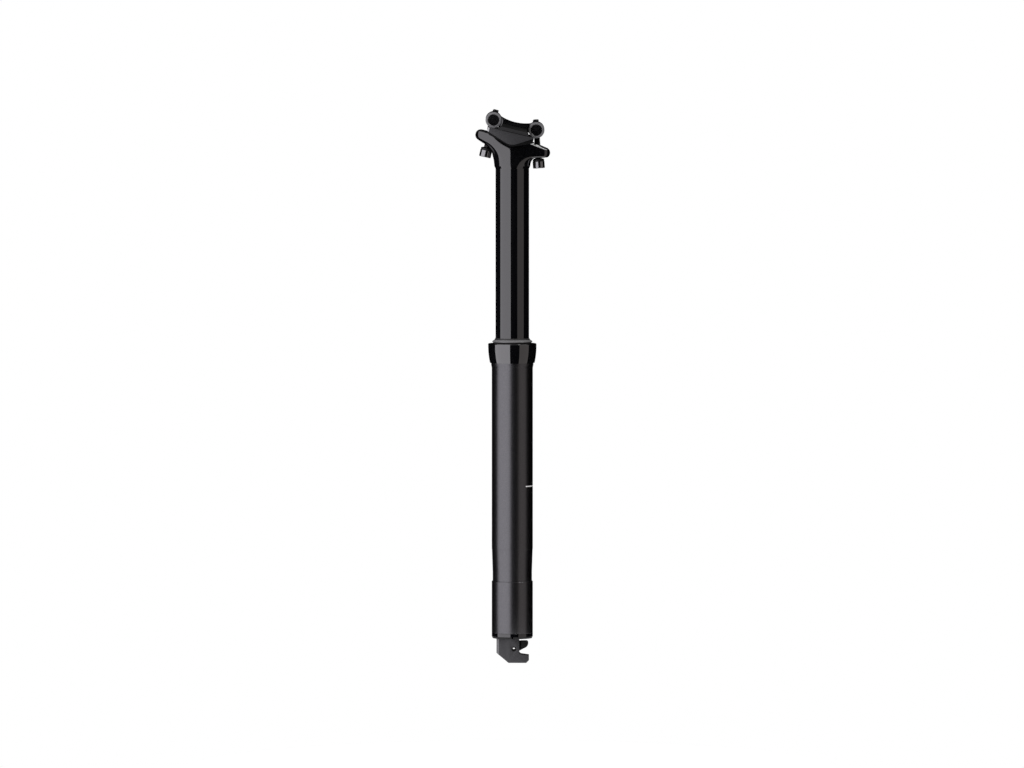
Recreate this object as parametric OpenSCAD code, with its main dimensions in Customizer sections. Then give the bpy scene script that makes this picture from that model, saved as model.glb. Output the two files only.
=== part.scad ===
// Dropper seatpost: a telescopic bicycle seatpost with a gas cartridge inside
// and a cable lever at its foot. Millimetres. +X is the front of the bicycle,
// +Z is up. The origin is on the post's axis, where the rim of the seat tube
// stops against the flange of the lower tube.

/* [Lower tube] */
// Outer diameter, the same as the bore of the seat tube
tube_d = 31.6; // [31:0.1:34.9]
// Wall of the lower tube
tube_wall = 1.9; // [1.8:0.05:2]
// How far the stop flange stands out from the tube
flange_step = 0.47; // [0.3:0.01:0.8]
// Depth of the necked stretch above the end housing
neck_depth = 0.7; // [0.5:0.05:0.75]
// Length of the necked stretch
neck_len = 24.6; // [20:0.1:40]
// Part of that stretch that tapers
neck_taper = 17.5; // [5:0.5:19]
// Height of the end housing
housing_h = 40.1; // [38:0.1:50]

/* [Inner post] */
// Outer diameter of the sliding inner post
post_d = 25.8; // [25.2:0.1:26.4]
// Wall of the inner post
post_wall = 2; // [1.6:0.1:2.2]
// How far the post drops
travel = 125; // [75:5:175]
// Length of the inner post inside the tube at full height
overlap = 60; // [55:1:90]
// Gap between wiper and head at full drop
stop_gap = 7; // [3:0.5:15]

/* [Collar] */
// Largest diameter of the collar
collar_d = 37.2; // [36.6:0.1:40]
// Height of the collar
collar_h = 14.8; // [14:0.1:20]
// How far the wiper stands above the collar
wiper_h = 3.1; // [2.5:0.1:5]

/* [Saddle head] */
// Nose-down angle of the saddle clamp
tilt = 13.3; // [8:0.1:16]
// Wall of the head around the inner post
head_wall = 0.9; // [0.8:0.05:1.2]
// Reach of the rear wing from the post's axis
rear_reach = 28.5; // [27:0.1:32]
// Reach of the front wing from the post's axis
front_reach = 29.2; // [28.5:0.1:33]
// Half width of both wings at their tips
tip_half_w = 8; // [7:0.1:9]
// Depth of the socket for the inner post
socket_depth = 14.3; // [12:0.1:15]

/* [Saddle clamp] */
// Diameter of the saddle's rails
rail_d = 7; // [6.8:0.1:7.4]
// Distance between the two rails
rail_pitch = 44; // [43:0.5:46]
// Distance between the two barrel nuts
eye_pitch = 33.8; // [33:0.1:35]
// Diameter of the barrel nuts
barrel_d = 8.5; // [8:0.1:9]
// Length of the barrel nuts
barrel_len = 19; // [16:0.5:22]

/* [Bolts] */
// Diameter of the bolts' shanks
bolt_d = 4.9; // [4:0.1:5]
// Diameter of the bolts' heads
bolt_head_d = 9.1; // [8:0.1:9.3]
// Height of the bolts' heads
bolt_head_h = 5.4; // [4:0.1:6]
// Outward lean of the front bolt against the rear one
front_lean = 17.2; // [14:0.1:18]
// Thickness of the domed washers
washer_h = 2.6; // [2:0.1:3]

/* [Cartridge] */
// Diameter of the hollow shaft
shaft_d = 9; // [8:0.1:10]
// Diameter of the release rod inside the shaft
rod_d = 3.8; // [3:0.1:4.2]
// Wall of the gas cylinder
cart_wall = 1.5; // [1:0.1:2]

/* [Cable lever] */
// Width of the bracket across the bicycle
bracket_w = 15; // [14:0.5:17]
// Thickness of the lever in its slot
lever_w = 6; // [5:0.1:6.6]
// Outer diameter of the hollow pivot pin
pin_d = 3.6; // [3.2:0.1:4]
// Bore of the pivot pin
pin_bore = 2.1; // [1.5:0.1:2.4]
// Diameter of the cable housing that the bracket stops
housing_d = 5; // [4:0.1:5.4]

/* [Hidden] */
$fn = 96;
// clearances: fixed fits, running fits, loose holes, seats that move a little, threads
fit = 0.05;
run = 0.05;
loose = 0.3;
seat_gap = 0.3;
thread_gap = 0.32;
// cutters run this far past what they cut, or right through
cut = 1;
through = 100;

// lower tube
tube_r = tube_d / 2;
bore_r = tube_r - tube_wall;
thread_r = bore_r + 0.53 * tube_wall;
neck_r = tube_r - neck_depth;
flange_z = 0.5;
flange_round = 1.4;
flange_top = 3.8;
line_depth = 0.15;
line_w = 0.5;

// collar, wiper and upper bushing
collar_r = collar_d / 2;
collar_flare = 1.4;
collar_rim = 1.7;
collar_edge = 0.8;
collar_roof = 4.6;
collar_top = flange_top + collar_h;
collar_foot_r = collar_r - collar_flare;
collar_side_top = collar_top - collar_rim;
collar_thread_top = collar_top - collar_roof;
bush_flange = 1.2;
bush_len = 22;
shelf_t = 1;
shelf_gap = 0.4;
shelf_z = collar_thread_top + bush_flange + fit;
seal_h = 1.5;
seal_z = shelf_z + shelf_t;
seal_top = seal_z + seal_h;
post_r = post_d / 2;
wiper_t = 2.4;
lip_t = 1.6;
seal_r = post_r + wiper_t;
lip_r = post_r + lip_t;
wiper_top = collar_top + wiper_h;

// inner post
post_bore_r = post_r - post_wall;
foot_h = 3;
foot_gap = 0.5;
foot_z = -overlap;
post_z = foot_z + foot_h;
head_z = wiper_top + travel + stop_gap;
socket_top = head_z + socket_depth;
post_top = socket_top - fit;
bush_seat = 0.5;
foot_bush_len = 15;
foot_spigot = 8;
key_d = 2.4;
key_bite = 0.55;
key_ring = bore_r - key_d / 2 + key_bite;
key_rise = 19;
key_z = post_z + key_rise;
key_len = 14;
key_over = 2;

// end housing and plug
bump_room = 4.5;
plug_top = foot_z - travel - bump_room;
plug_spigot = 15.2;
housing_z = plug_top - plug_spigot;
housing_top = housing_z + housing_h;
housing_thread = 12;
housing_edge = 0.9;
tube_end = housing_top - housing_thread;
plug_ring = 2.6;
plug_edge = 0.7;
plug_drop = 4.1;
plug_z = housing_z - plug_drop;
notch_w = 1.2;
notch_depth = 2;
boss_r = 8;
boss_h = 3;
shaft_floor = 2.3;
shaft_seat = plug_z + boss_h + shaft_floor;
rod_room = 0.1;
lock_nut_w = 3.5;
lock_nut_h = 3.4;
bumper_in = 4.5;
bumper_gap = 0.9;
bumper_h = 3.2;

// cartridge
shaft_r = shaft_d / 2;
rod_r = rod_d / 2;
cart_gap = 0.7;
cart_r = post_bore_r - cart_gap;
cart_bore_r = cart_r - cart_wall;
head_flange = 3;
seal_head_z = post_z + foot_spigot;
cart_z = seal_head_z + head_flange;
seal_head_len = 11;
cart_drop = 18;
cart_top = socket_top - cart_drop;
cap_len = 10;
cap_flange = 3;
cap_stud_r = 5;
piston_lift = 2;
piston_z = cart_z + seal_head_len + piston_lift;
piston_h = 12;
stud_step = 1.2;
stud_r = shaft_r - stud_step;
seal_w = 3;
seal_deep = 1.5;
float_h = 10;
rod_short = 3;
shaft_swept = pow(shaft_r / cart_bore_r, 2) * travel;
float_z = (piston_z + piston_h + travel + cart_top - cap_len - float_h) / 2 - shaft_swept;

// cable lever and its bracket
pivot_x = 1.2;
pivot_drop = 8.1;
pivot_z = plug_z - pivot_drop;
pivot_r = pin_d / 2;
hub_r = 3.6;
nose_r = 1.6;
nose_x = -4.6;
nose_z = 3.1;
nose_gap = 0.15;
neck_half = 3;
arm_back = 3.3;
arm_step = 1.7;
arm_slant = 0.7;
hook_back = 5.5;
hook_lap = 0.5;
hook_low = -0.7;
hook_top = 6;
hook_tip = 11.1;
hook_round = 1.5;
hook_belly = 4;
hook_side = 3;
hook_w = lever_w + hook_side;
nipple_r = 2.4;
nipple_floor = 3.2;
button_z = pivot_z + nose_z + nose_r + nose_gap;
button_h = 2;
button_r = 4.4;
button_room = 0.5;
slot_room = 0.6;
slot_w = lever_w + slot_room;
slot_back = -7.6;
slot_deep = 0.5;
slot_floor = pivot_z - hub_r - slot_deep;
cheek_x = 5.4;
throat_r = 1.9;
jaw_x = 12.8;
jaw_drop = 5.1;
jaw_rise = 0.8;
jaw_edge = 2.1;
jaw_z = pivot_z - jaw_drop;
bracket_x = -12.2;
bracket_drop = 10.7;
bracket_z = pivot_z - bracket_drop;
back_drop = 3;
foot_x = -2.9;
rear_bevel = 1.8;
front_bevel = 0.9;
cable_x = 9.2;
cable_slit = 1.8;
stop_depth = 4.3;
stop_gap_r = 0.1;

// saddle clamp: its own frame has its origin midway between the barrel nuts
clamp_x = 2.07;
clamp_rise = 33.5;
clamp_z = head_z + clamp_rise;
eye_u = eye_pitch / 2;
barrel_r = barrel_d / 2;
eye_wall = 1.65;
eye_r = barrel_r + eye_wall;
eye_past = 0.5;
eye_half = barrel_len / 2 + eye_past;
rock_h = 9;
rock_r = 24;
rock_gap = 0.1;
rock_u = 11;
rail_r = rail_d / 2;
rail_y = rail_pitch / 2;
rail_drop = 5.6;
lip_gap = 0.2;
rail_wall = 1.6;
cradle_lip = -rail_drop - lip_gap;
cradle_rear = -19.4;
cradle_front = 16.3;
cradle_out = rail_y + rail_r + rail_wall;
cradle_bevel = 0.6;
skirt_t = 1.4;
skirt_rear = -9.6;
skirt_front = -8;
body_rear = -10.4;
body_front = -10.2;
apex_u = 0.3;
apex_low = -16.6;
apex_round = 6;
pocket_edge = 3;
pocket_depth = 4.5;
upper_lip = lip_gap - rail_drop;
upper_r = rail_r + rail_wall;
upper_low = -3.4;
upper_h = 8;
upper_dish = 32;
upper_top = 1.4;
arm_in = 1.5;
arm_rise = 4;
eye_room = 1;

// bolts: each swings on the ball of its washer's dome
bolt_r = bolt_d / 2;
bolt_head_r = bolt_head_d / 2;
bolt_tip = 7.9;
bolt_edge = 0.6;
hex_r = 2.3;
hex_depth = 3;
washer_in = 0.15;
washer_r = bolt_head_r - washer_in;
washer_dome = 1.2;
washer_ball = (washer_r * washer_r + washer_dome * washer_dome) / (2 * washer_dome);
nut_swing = 12;
way_gap = 0.4;
way_room = 1.1;
way_len = 6;
rear_seat = 21.3;
front_seat = 21.4;
seat_room = 1.1;
seat_len = 14;

// head
head_r = post_r + fit + head_wall;
base_edge = 1.8;
base_lip = 0.2;
under_rise = 8.1;
under_z = head_z + under_rise;
front_fillet = 6;
front_tip_r = 3.8;
front_tip = [front_reach - front_tip_r, under_z + front_tip_r];
rear_tip_r = 4.2;
rear_tip_rise = 25.6;
rear_tip = [rear_tip_r - rear_reach, head_z + rear_tip_rise];
rear_fillet = 20;
rear_slope = 55;
top_u = 15;
top_low = -9.7;
wing_bevel = 1.4;
side_gap = 0.5;
cradle_in = head_r + side_gap;
tip_round = 18;

function arc(c, r, a0, a1, steps = 12) =
    [for (i = [0:steps]) let (a = a0 + (a1 - a0) * i / steps) [c.x + r * cos(a), c.y + r * sin(a)]];
function to_world(u, n) =
    [clamp_x + u * cos(tilt) + n * sin(tilt), clamp_z - u * sin(tilt) + n * cos(tilt)];

module pipe(r_out, r_in, z0, z1) {
    difference() {
        translate([0, 0, z0]) cylinder(r = r_out, h = z1 - z0);
        translate([0, 0, z0 - cut]) cylinder(r = r_in, h = z1 - z0 + 2 * cut);
    }
}

module across(w) {
    rotate([90, 0, 0]) linear_extrude(height = w, center = true) children();
}

module at_clamp() {
    translate([clamp_x, 0, clamp_z]) rotate([0, tilt, 0]) children();
}

// the z axis runs up the bolt and starts at the middle of its barrel nut
module at_bolt(u, lean) {
    at_clamp() translate([u, 0, 0]) rotate([0, -lean, 0]) children();
}

module both_sides() {
    children();
    mirror([0, 1, 0]) children();
}

module lower_tube() {
    color([0.05, 0.05, 0.055]) difference() {
        rotate_extrude() polygon(concat(
            [[bore_r, tube_end], [thread_r, tube_end], [thread_r, housing_top], [neck_r, housing_top],
            [neck_r, housing_top + neck_len - neck_taper],
            [tube_r - line_depth, housing_top + neck_len - line_w],
            [tube_r - line_depth, housing_top + neck_len],
            [tube_r, housing_top + neck_len]],
            [for (a = [0:15:90]) [tube_r + flange_step * (1 - cos(a)), flange_z + flange_round * sin(a)]],
            [[tube_r + flange_step, flange_top], [thread_r, flange_top],
            [thread_r, collar_thread_top], [bore_r, collar_thread_top]]));
        for (a = [60, 180, 300])
            rotate(a) translate([key_ring, 0, tube_end - cut])
                cylinder(r = key_d / 2 + run, h = key_z + key_len + key_over - tube_end + cut);
    }
}

module collar() {
    h = collar_side_top - flange_top;
    d = collar_r - collar_foot_r;
    bulge = (h * h + d * d) / (2 * d);
    color([0.03, 0.03, 0.035]) rotate_extrude() polygon(concat(
        [[thread_r + fit, flange_top], [collar_foot_r - loose, flange_top]],
        [for (i = [1:12]) let (z = h * (1 - i / 12))
            [collar_r - bulge + sqrt(bulge * bulge - z * z), flange_top + h * i / 12]],
        [[collar_r - 0.3 * collar_edge, collar_top - collar_edge],
        [collar_r - 1.5 * collar_edge, collar_top], [lip_r, collar_top], [lip_r, seal_top],
        [seal_r, seal_top], [seal_r, seal_z],
        [post_r + shelf_gap, seal_z], [post_r + shelf_gap, shelf_z], [thread_r + fit, shelf_z]]));
}

module wiper_seal() {
    color([0.3, 0.3, 0.3]) rotate_extrude() polygon([
        [post_r + 0.12 * wiper_t, seal_z + fit], [seal_r - fit, seal_z + fit],
        [seal_r - fit, seal_top - fit], [lip_r - fit, seal_top - fit],
        [lip_r - 0.08 * wiper_t, collar_top + 0.1 * wiper_h],
        [post_r + 1.08 * wiper_t, collar_top + 0.5 * wiper_h],
        [post_r + 0.25 * wiper_t, wiper_top], [post_r + 0.12 * wiper_t, wiper_top],
        [post_r + run, wiper_top - 0.16 * wiper_h], [post_r + run, wiper_top - 0.35 * wiper_h],
        [post_r + 0.17 * wiper_t, wiper_top - 0.61 * wiper_h]]);
}

module upper_bushing() {
    color([0.12, 0.12, 0.12]) rotate_extrude() polygon([
        [post_r + run, collar_thread_top - bush_len], [bore_r - fit, collar_thread_top - bush_len],
        [bore_r - fit, collar_thread_top], [thread_r, collar_thread_top],
        [thread_r, collar_thread_top + bush_flange], [post_r + run, collar_thread_top + bush_flange]]);
}

module end_housing() {
    color([0.05, 0.05, 0.055]) rotate_extrude() polygon([
        [bore_r, housing_z], [tube_r, housing_z], [tube_r, housing_top - housing_edge],
        [neck_r, housing_top], [thread_r + fit, housing_top], [thread_r + fit, tube_end - fit],
        [bore_r, tube_end - fit]]);
}

module end_plug() {
    color([0.02, 0.02, 0.02]) difference() {
        rotate_extrude() polygon([
            [shaft_r + fit, plug_top], [bore_r - fit, plug_top], [bore_r - fit, housing_z],
            [tube_r, housing_z], [tube_r, housing_z - plug_ring], [tube_r - plug_edge, plug_z],
            [boss_r + fit, plug_z], [boss_r + fit, plug_z + boss_h + fit],
            [rod_r + loose, plug_z + boss_h + fit], [rod_r + loose, shaft_seat],
            [shaft_r + fit, shaft_seat]]);
        // notches for a pin spanner
        for (a = [0:90:270])
            rotate(a) translate([tube_r - notch_depth, -notch_w / 2, plug_z - cut])
                cube([notch_depth + cut, notch_w, plug_drop - plug_ring + cut]);
    }
}

module shaft_lock_nut() {
    color([0.5, 0.5, 0.5]) difference() {
        translate([0, 0, plug_top]) cylinder(r = shaft_r + lock_nut_w, h = lock_nut_h, $fn = 6);
        translate([0, 0, plug_top - cut]) cylinder(r = shaft_r + fit, h = lock_nut_h + 2 * cut);
    }
}

module bottom_bumper() {
    color([0.1, 0.1, 0.1]) pipe(bore_r - bumper_gap, shaft_r + bumper_in, plug_top, plug_top + bumper_h);
}

module cartridge_shaft() {
    color([0.7, 0.7, 0.7]) rotate_extrude() polygon([
        [rod_r + rod_room, shaft_seat], [shaft_r, shaft_seat], [shaft_r, piston_z], [stud_r, piston_z],
        [stud_r, piston_z + piston_h], [rod_r + rod_room, piston_z + piston_h]]);
}

module cartridge_piston() {
    mid = piston_z + piston_h / 2;
    r = cart_bore_r - run;
    color([0.6, 0.6, 0.6]) rotate_extrude() polygon([
        [stud_r + fit, piston_z], [r, piston_z], [r, mid - seal_w / 2], [r - seal_deep, mid - seal_w / 2],
        [r - seal_deep, mid + seal_w / 2], [r, mid + seal_w / 2], [r, piston_z + piston_h],
        [stud_r + fit, piston_z + piston_h]]);
}

module piston_seal() {
    mid = piston_z + piston_h / 2;
    r = cart_bore_r - run;
    color([0.05, 0.05, 0.05]) pipe(r, r - seal_deep + fit, mid - seal_w / 2 + fit, mid + seal_w / 2 - fit);
}

module bracket_side() {
    throat = [cheek_x + throat_r, jaw_z + jaw_rise + throat_r];
    difference() {
        polygon(concat(
            [[bracket_x, plug_z], [bracket_x, pivot_z - back_drop], [foot_x, bracket_z],
            [jaw_x - jaw_edge, bracket_z], [jaw_x, bracket_z + jaw_edge], [jaw_x, jaw_z]],
            arc(throat, throat_r, 262, 180, 8), [[cheek_x, plug_z]]));
        translate([pivot_x, pivot_z]) circle(r = pivot_r + fit);
    }
}

module bracket_plan() {
    half = bracket_w / 2;
    polygon([[bracket_x + rear_bevel, -half], [jaw_x - front_bevel, -half], [jaw_x, front_bevel - half],
        [jaw_x, half - front_bevel], [jaw_x - front_bevel, half], [bracket_x + rear_bevel, half],
        [bracket_x, half - rear_bevel], [bracket_x, rear_bevel - half]]);
}

module lever_bracket() {
    color([0.1, 0.1, 0.105]) difference() {
        union() {
            intersection() {
                across(bracket_w) bracket_side();
                translate([0, 0, bracket_z - cut])
                    linear_extrude(height = plug_z - bracket_z + 2 * cut) bracket_plan();
            }
            translate([0, 0, plug_z]) cylinder(r = boss_r, h = boss_h);
        }
        // slot of the lever, pocket of the button
        translate([slot_back, -slot_w / 2, slot_floor])
            cube([cheek_x + cut - slot_back, slot_w, plug_z - slot_floor]);
        translate([0, 0, button_z - button_room]) cylinder(r = button_r + button_room, h = through);
        // stop for the cable housing, with the slit that the cable goes in by
        translate([cable_x, 0, bracket_z - cut])
            cylinder(r = housing_d / 2 + stop_gap_r, h = stop_depth + cut);
        translate([cable_x, 0, bracket_z]) cylinder(r = cable_slit / 2, h = bracket_drop);
        translate([cable_x, -cable_slit / 2, bracket_z - cut]) cube([jaw_x, cable_slit, bracket_drop]);
    }
}

module pivot_pin() {
    color([0.25, 0.25, 0.25]) translate([pivot_x, 0, pivot_z]) rotate([90, 0, 0]) difference() {
        cylinder(r = pivot_r, h = bracket_w, center = true);
        cylinder(r = pin_bore / 2, h = bracket_w + cut, center = true);
    }
}

module inner_post() {
    color([0.01, 0.01, 0.012]) difference() {
        pipe(post_r, post_bore_r, post_z, post_top);
        pipe(post_r + cut, post_r - bush_seat, post_z - cut, post_z + foot_bush_len);
        for (a = [60, 180, 300])
            rotate(a) translate([key_ring, 0, key_z - fit])
                cylinder(r = key_d / 2 + fit, h = key_len + 2 * fit);
    }
}

module head_side() {
    back_x = -head_r - base_lip;
    tangent_x = back_x - rear_fillet + rear_fillet * cos(rear_slope);
    tip_low = rear_tip + rear_tip_r * [cos(180 + rear_slope), sin(180 + rear_slope)];
    fillet_z = tip_low.y - (tangent_x - tip_low.x) / tan(rear_slope) - rear_fillet * sin(rear_slope);
    front_x = head_r + front_fillet + cut;
    polygon(concat(
        [[back_x, head_z - cut], [front_x, head_z - cut], [front_x, under_z - base_lip]],
        arc(front_tip, front_tip_r, -90, 90 - tilt),
        [to_world(top_u, top_low), to_world(-top_u, top_low)],
        arc(rear_tip, rear_tip_r, 90 - tilt, 180 + rear_slope),
        arc([back_x - rear_fillet, fillet_z], rear_fillet, rear_slope, 0)));
}

module head_plan() {
    circle(r = head_r);
    intersection() {
        polygon([[-rear_reach, -tip_half_w], [0, -head_r], [front_reach, -tip_half_w],
            [front_reach, tip_half_w], [0, head_r], [-rear_reach, tip_half_w]]);
        union() {
            translate([tip_round - rear_reach, 0]) circle(r = tip_round);
            translate([front_reach - tip_round, 0]) circle(r = tip_round);
        }
    }
}

module head_neck() {
    rotate_extrude() polygon(concat(
        [[0, head_z], [post_r + base_lip, head_z], [head_r, head_z + base_edge]],
        arc([head_r + front_fillet, under_z - front_fillet], front_fillet, 180, 90),
        [[front_reach + head_r, under_z], [front_reach + head_r, clamp_z], [0, clamp_z]]));
}

// cutter along the straight edge from p to q, which takes off a bevel at 45 degrees
module edge_cutter(p, q, bevel) {
    d = q - p;
    side = bevel * sqrt(2);
    translate(p) rotate([0, -asin(d.z / norm(d)), atan2(d.y, d.x)]) rotate([45, 0, 0])
        translate([0, -side / 2, -side / 2]) cube([2 * norm(d), side, side]);
}

// upper edges of one wing, from the trough out to the top of its round tip
module wing_bevels(reach, dir, tip, tip_r) {
    root = to_world(dir * top_u, top_low);
    top = tip + tip_r * [sin(tilt), cos(tilt)];
    slant = (head_r - tip_half_w) / reach;
    both_sides() edge_cutter(
        [root.x, head_r - slant * abs(root.x), root.y], [top.x, head_r - slant * abs(top.x), top.y],
        wing_bevel);
}

// slot that the bolt passes and swings in, and the flat face under it for its washer
module bolt_way(u, lean, seat) {
    r = bolt_r + way_gap;
    at_bolt(u, lean) {
        for (s = [-1, 1])
            translate([s * way_room, 0, -seat - way_len]) cylinder(r = r, h = seat + way_len);
        translate([-way_room, -r, -seat - way_len]) cube([2 * way_room, 2 * r, seat + way_len]);
        translate([0, 0, -seat - seat_len]) cylinder(r = washer_r + seat_room, h = seat_len);
    }
}

module saddle_head() {
    color([0.02, 0.02, 0.022]) difference() {
        intersection() {
            across(4 * head_r) head_side();
            translate([0, 0, head_z - cut]) linear_extrude(height = 2 * clamp_z) head_plan();
            head_neck();
        }
        translate([0, 0, head_z - 2 * cut]) cylinder(r = post_r + fit, h = socket_depth + 2 * cut);
        at_clamp() translate([0, 0, rock_h]) rotate([90, 0, 0])
            cylinder(r = rock_r + rock_gap, h = 4 * head_r, center = true);
        wing_bevels(front_reach, 1, front_tip, front_tip_r);
        wing_bevels(rear_reach, -1, rear_tip, rear_tip_r);
        bolt_way(-eye_u, 0, rear_seat);
        bolt_way(eye_u, front_lean, front_seat);
    }
}

module foot_bushing() {
    color([0.12, 0.12, 0.12])
        pipe(bore_r - run, post_r - bush_seat + fit, post_z, post_z + foot_bush_len - fit);
}

module guide_keys() {
    color([0.7, 0.55, 0.25]) for (a = [60, 180, 300])
        rotate(a) translate([key_ring, 0, key_z]) cylinder(r = key_d / 2, h = key_len);
}

module foot_nut() {
    color([0.6, 0.6, 0.6]) rotate_extrude() polygon([
        [shaft_r + loose, foot_z], [bore_r - foot_gap, foot_z], [bore_r - foot_gap, post_z],
        [post_bore_r - fit, post_z],
        [post_bore_r - fit, seal_head_z], [shaft_r + loose, seal_head_z]]);
}

module cartridge_body() {
    color([0.75, 0.75, 0.75]) pipe(cart_r, cart_bore_r, cart_z, cart_top);
}

module cartridge_seal_head() {
    mid = cart_z + seal_head_len / 2;
    color([0.6, 0.6, 0.6]) rotate_extrude() polygon([
        [shaft_r + run, seal_head_z], [cart_r, seal_head_z], [cart_r, cart_z], [cart_bore_r - fit, cart_z],
        [cart_bore_r - fit, cart_z + seal_head_len], [shaft_r + run, cart_z + seal_head_len],
        [shaft_r + run, mid + seal_w / 2], [shaft_r + seal_deep, mid + seal_w / 2],
        [shaft_r + seal_deep, mid - seal_w / 2], [shaft_r + run, mid - seal_w / 2]]);
}

module shaft_seal() {
    mid = cart_z + seal_head_len / 2;
    color([0.05, 0.05, 0.05])
        pipe(shaft_r + seal_deep - fit, shaft_r + run, mid - seal_w / 2 + fit, mid + seal_w / 2 - fit);
}

module cartridge_cap() {
    color([0.6, 0.6, 0.6]) {
        translate([0, 0, cart_top - cap_len]) cylinder(r = cart_bore_r - fit, h = cap_len);
        translate([0, 0, cart_top]) cylinder(r = cart_r, h = cap_flange);
        translate([0, 0, cart_top + cap_flange])
            cylinder(r = cap_stud_r, h = cart_drop - cap_flange - side_gap);
    }
}

module floating_piston() {
    mid = float_z + float_h / 2;
    r = cart_bore_r - run;
    color([0.6, 0.6, 0.6]) rotate_extrude() polygon([
        [0, float_z], [r, float_z], [r, mid - seal_w / 2], [r - seal_deep, mid - seal_w / 2],
        [r - seal_deep, mid + seal_w / 2], [r, mid + seal_w / 2], [r, float_z + float_h],
        [0, float_z + float_h]]);
}

module floating_seal() {
    mid = float_z + float_h / 2;
    r = cart_bore_r - run;
    color([0.05, 0.05, 0.05]) pipe(r, r - seal_deep + fit, mid - seal_w / 2 + fit, mid + seal_w / 2 - fit);
}

module release_rod() {
    color([0.7, 0.7, 0.7]) {
        translate([0, 0, button_z]) cylinder(r = button_r, h = button_h);
        translate([0, 0, button_z]) cylinder(r = rod_r, h = piston_z + piston_h - rod_short - button_z);
    }
}

module lever_root() {
    nose = [nose_x, nose_z];
    side = [-nose_z, nose_x] / norm(nose);
    circle(r = hub_r);
    translate(nose) circle(r = nose_r);
    polygon([neck_half * side, nose + nose_r * side, nose - nose_r * side, -neck_half * side]);
    polygon([[0, hub_r], [arm_back, hook_top - arm_step], [arm_back + arm_slant, hook_top],
        [hook_back + hook_lap, hook_top], [hook_back + hook_lap, hook_low], [0, -hub_r]]);
}

module lever_hook() {
    polygon(concat(
        [[hook_back, hook_low]],
        arc([hook_tip - hook_belly, hook_top - hook_round], hook_belly, -62, 0, 6),
        arc([hook_tip - hook_round, hook_top - hook_round], hook_round, 0, 90, 6),
        [[hook_back, hook_top]]));
}

module release_lever() {
    color([0.015, 0.015, 0.015]) translate([pivot_x, 0, pivot_z]) difference() {
        union() {
            across(lever_w) lever_root();
            across(hook_w) lever_hook();
        }
        rotate([90, 0, 0]) cylinder(r = pivot_r + run, h = 2 * hook_w, center = true);
        // seat of the cable's end, and the slit that the cable goes in by
        translate([cable_x - pivot_x, 0, 0]) {
            translate([0, 0, nipple_floor]) cylinder(r = nipple_r, h = hook_top);
            translate([0, -cable_slit / 2, -hook_top]) cube([hook_tip, cable_slit, 3 * hook_top]);
            translate([0, 0, -hook_top]) cylinder(r = cable_slit / 2, h = 3 * hook_top);
        }
    }
}

// side of the cradle: lower corner at each end, then a rounded V between them
module cradle_side(rear_low, front_low) {
    apex = [apex_u, apex_low];
    left = atan((rear_low - apex.y) / (apex.x - cradle_rear));
    right = atan((front_low - apex.y) / (cradle_front - apex.x));
    up = 90 + (right - left) / 2;
    c = apex + apex_round / cos((left + right) / 2) * [cos(up), sin(up)];
    polygon(concat(
        [[cradle_front, cradle_lip], [cradle_rear, cradle_lip], [cradle_rear, rear_low]],
        arc(c, apex_round, 270 - left, 270 + right), [[cradle_front, front_low]]));
}

module rail_grooves() {
    both_sides() translate([0, rail_y, -rail_drop]) rotate([0, 90, 0])
        cylinder(r = rail_r, h = through, center = true);
}

module rail_cradle() {
    side_w = cradle_out - cradle_in;
    bevel_side = cradle_bevel * sqrt(2);
    color([0.08, 0.08, 0.085]) at_clamp() difference() {
        union() {
            both_sides() translate([0, cradle_in + side_w / 2, 0])
                across(side_w) cradle_side(skirt_rear, skirt_front);
            both_sides() translate([0, cradle_in + (side_w - skirt_t) / 2, 0])
                across(side_w - skirt_t) cradle_side(body_rear, body_front);
            across(2 * cradle_in + fit) intersection() {
                translate([0, rock_h]) circle(r = rock_r);
                translate([-rock_u, -rock_r]) square([2 * rock_u, rock_r + cradle_lip]);
            }
        }
        rail_grooves();
        both_sides() translate([0, cradle_out, cradle_lip]) rotate([45, 0, 0])
            cube([through, bevel_side, bevel_side], center = true);
        translate([pocket_edge - rock_u, -rail_y / 2, cradle_lip - pocket_depth])
            cube([2 * (rock_u - pocket_edge), rail_y, 2 * pocket_depth]);
    }
}

// room for the bolt to pass the barrel nut's eye at every tilt
module eye_slot(u, lean) {
    w = 2 * (bolt_r + eye_r * tan(nut_swing) + loose);
    translate([u, 0, 0]) rotate([0, -lean, 0])
        cube([w, bolt_d + 2 * way_gap, 3 * eye_r], center = true);
}

// cylinder across the bicycle at each barrel nut
module at_eyes(r, w) {
    for (s = [-1, 1]) translate([s * eye_u, 0, 0]) rotate([90, 0, 0])
        cylinder(r = r, h = w, center = true);
}

// half of the upper clamp across the bicycle: a sloping arm that ends over the rail
module clamp_arm() {
    arm_top = upper_r - rail_drop;
    intersection() {
        translate([rail_y, -rail_drop]) circle(r = upper_r);
        translate([0, upper_lip]) square(through);
    }
    polygon([[eye_half - cut, upper_low], [rail_y - rail_r - arm_in, upper_lip], [rail_y, upper_lip],
        [rail_y, arm_top], [eye_half - cut, arm_top + arm_rise]]);
}

module upper_clamp() {
    color([0.02, 0.02, 0.02]) at_clamp() difference() {
        union() {
            translate([-eye_u, -eye_half, upper_low]) cube([eye_pitch, 2 * eye_half, upper_h]);
            difference() {
                both_sides() translate([-eye_u, 0, 0]) rotate([90, 0, 90])
                    linear_extrude(height = eye_pitch) clamp_arm();
                at_eyes(eye_r + eye_room, through);
            }
            at_eyes(eye_r, 2 * eye_half);
        }
        translate([0, 0, upper_dish + upper_top]) rotate([90, 0, 0])
            cylinder(r = upper_dish, h = through, center = true);
        rail_grooves();
        at_eyes(barrel_r + run, through);
        eye_slot(-eye_u, 0);
        eye_slot(eye_u, front_lean);
    }
}

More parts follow.
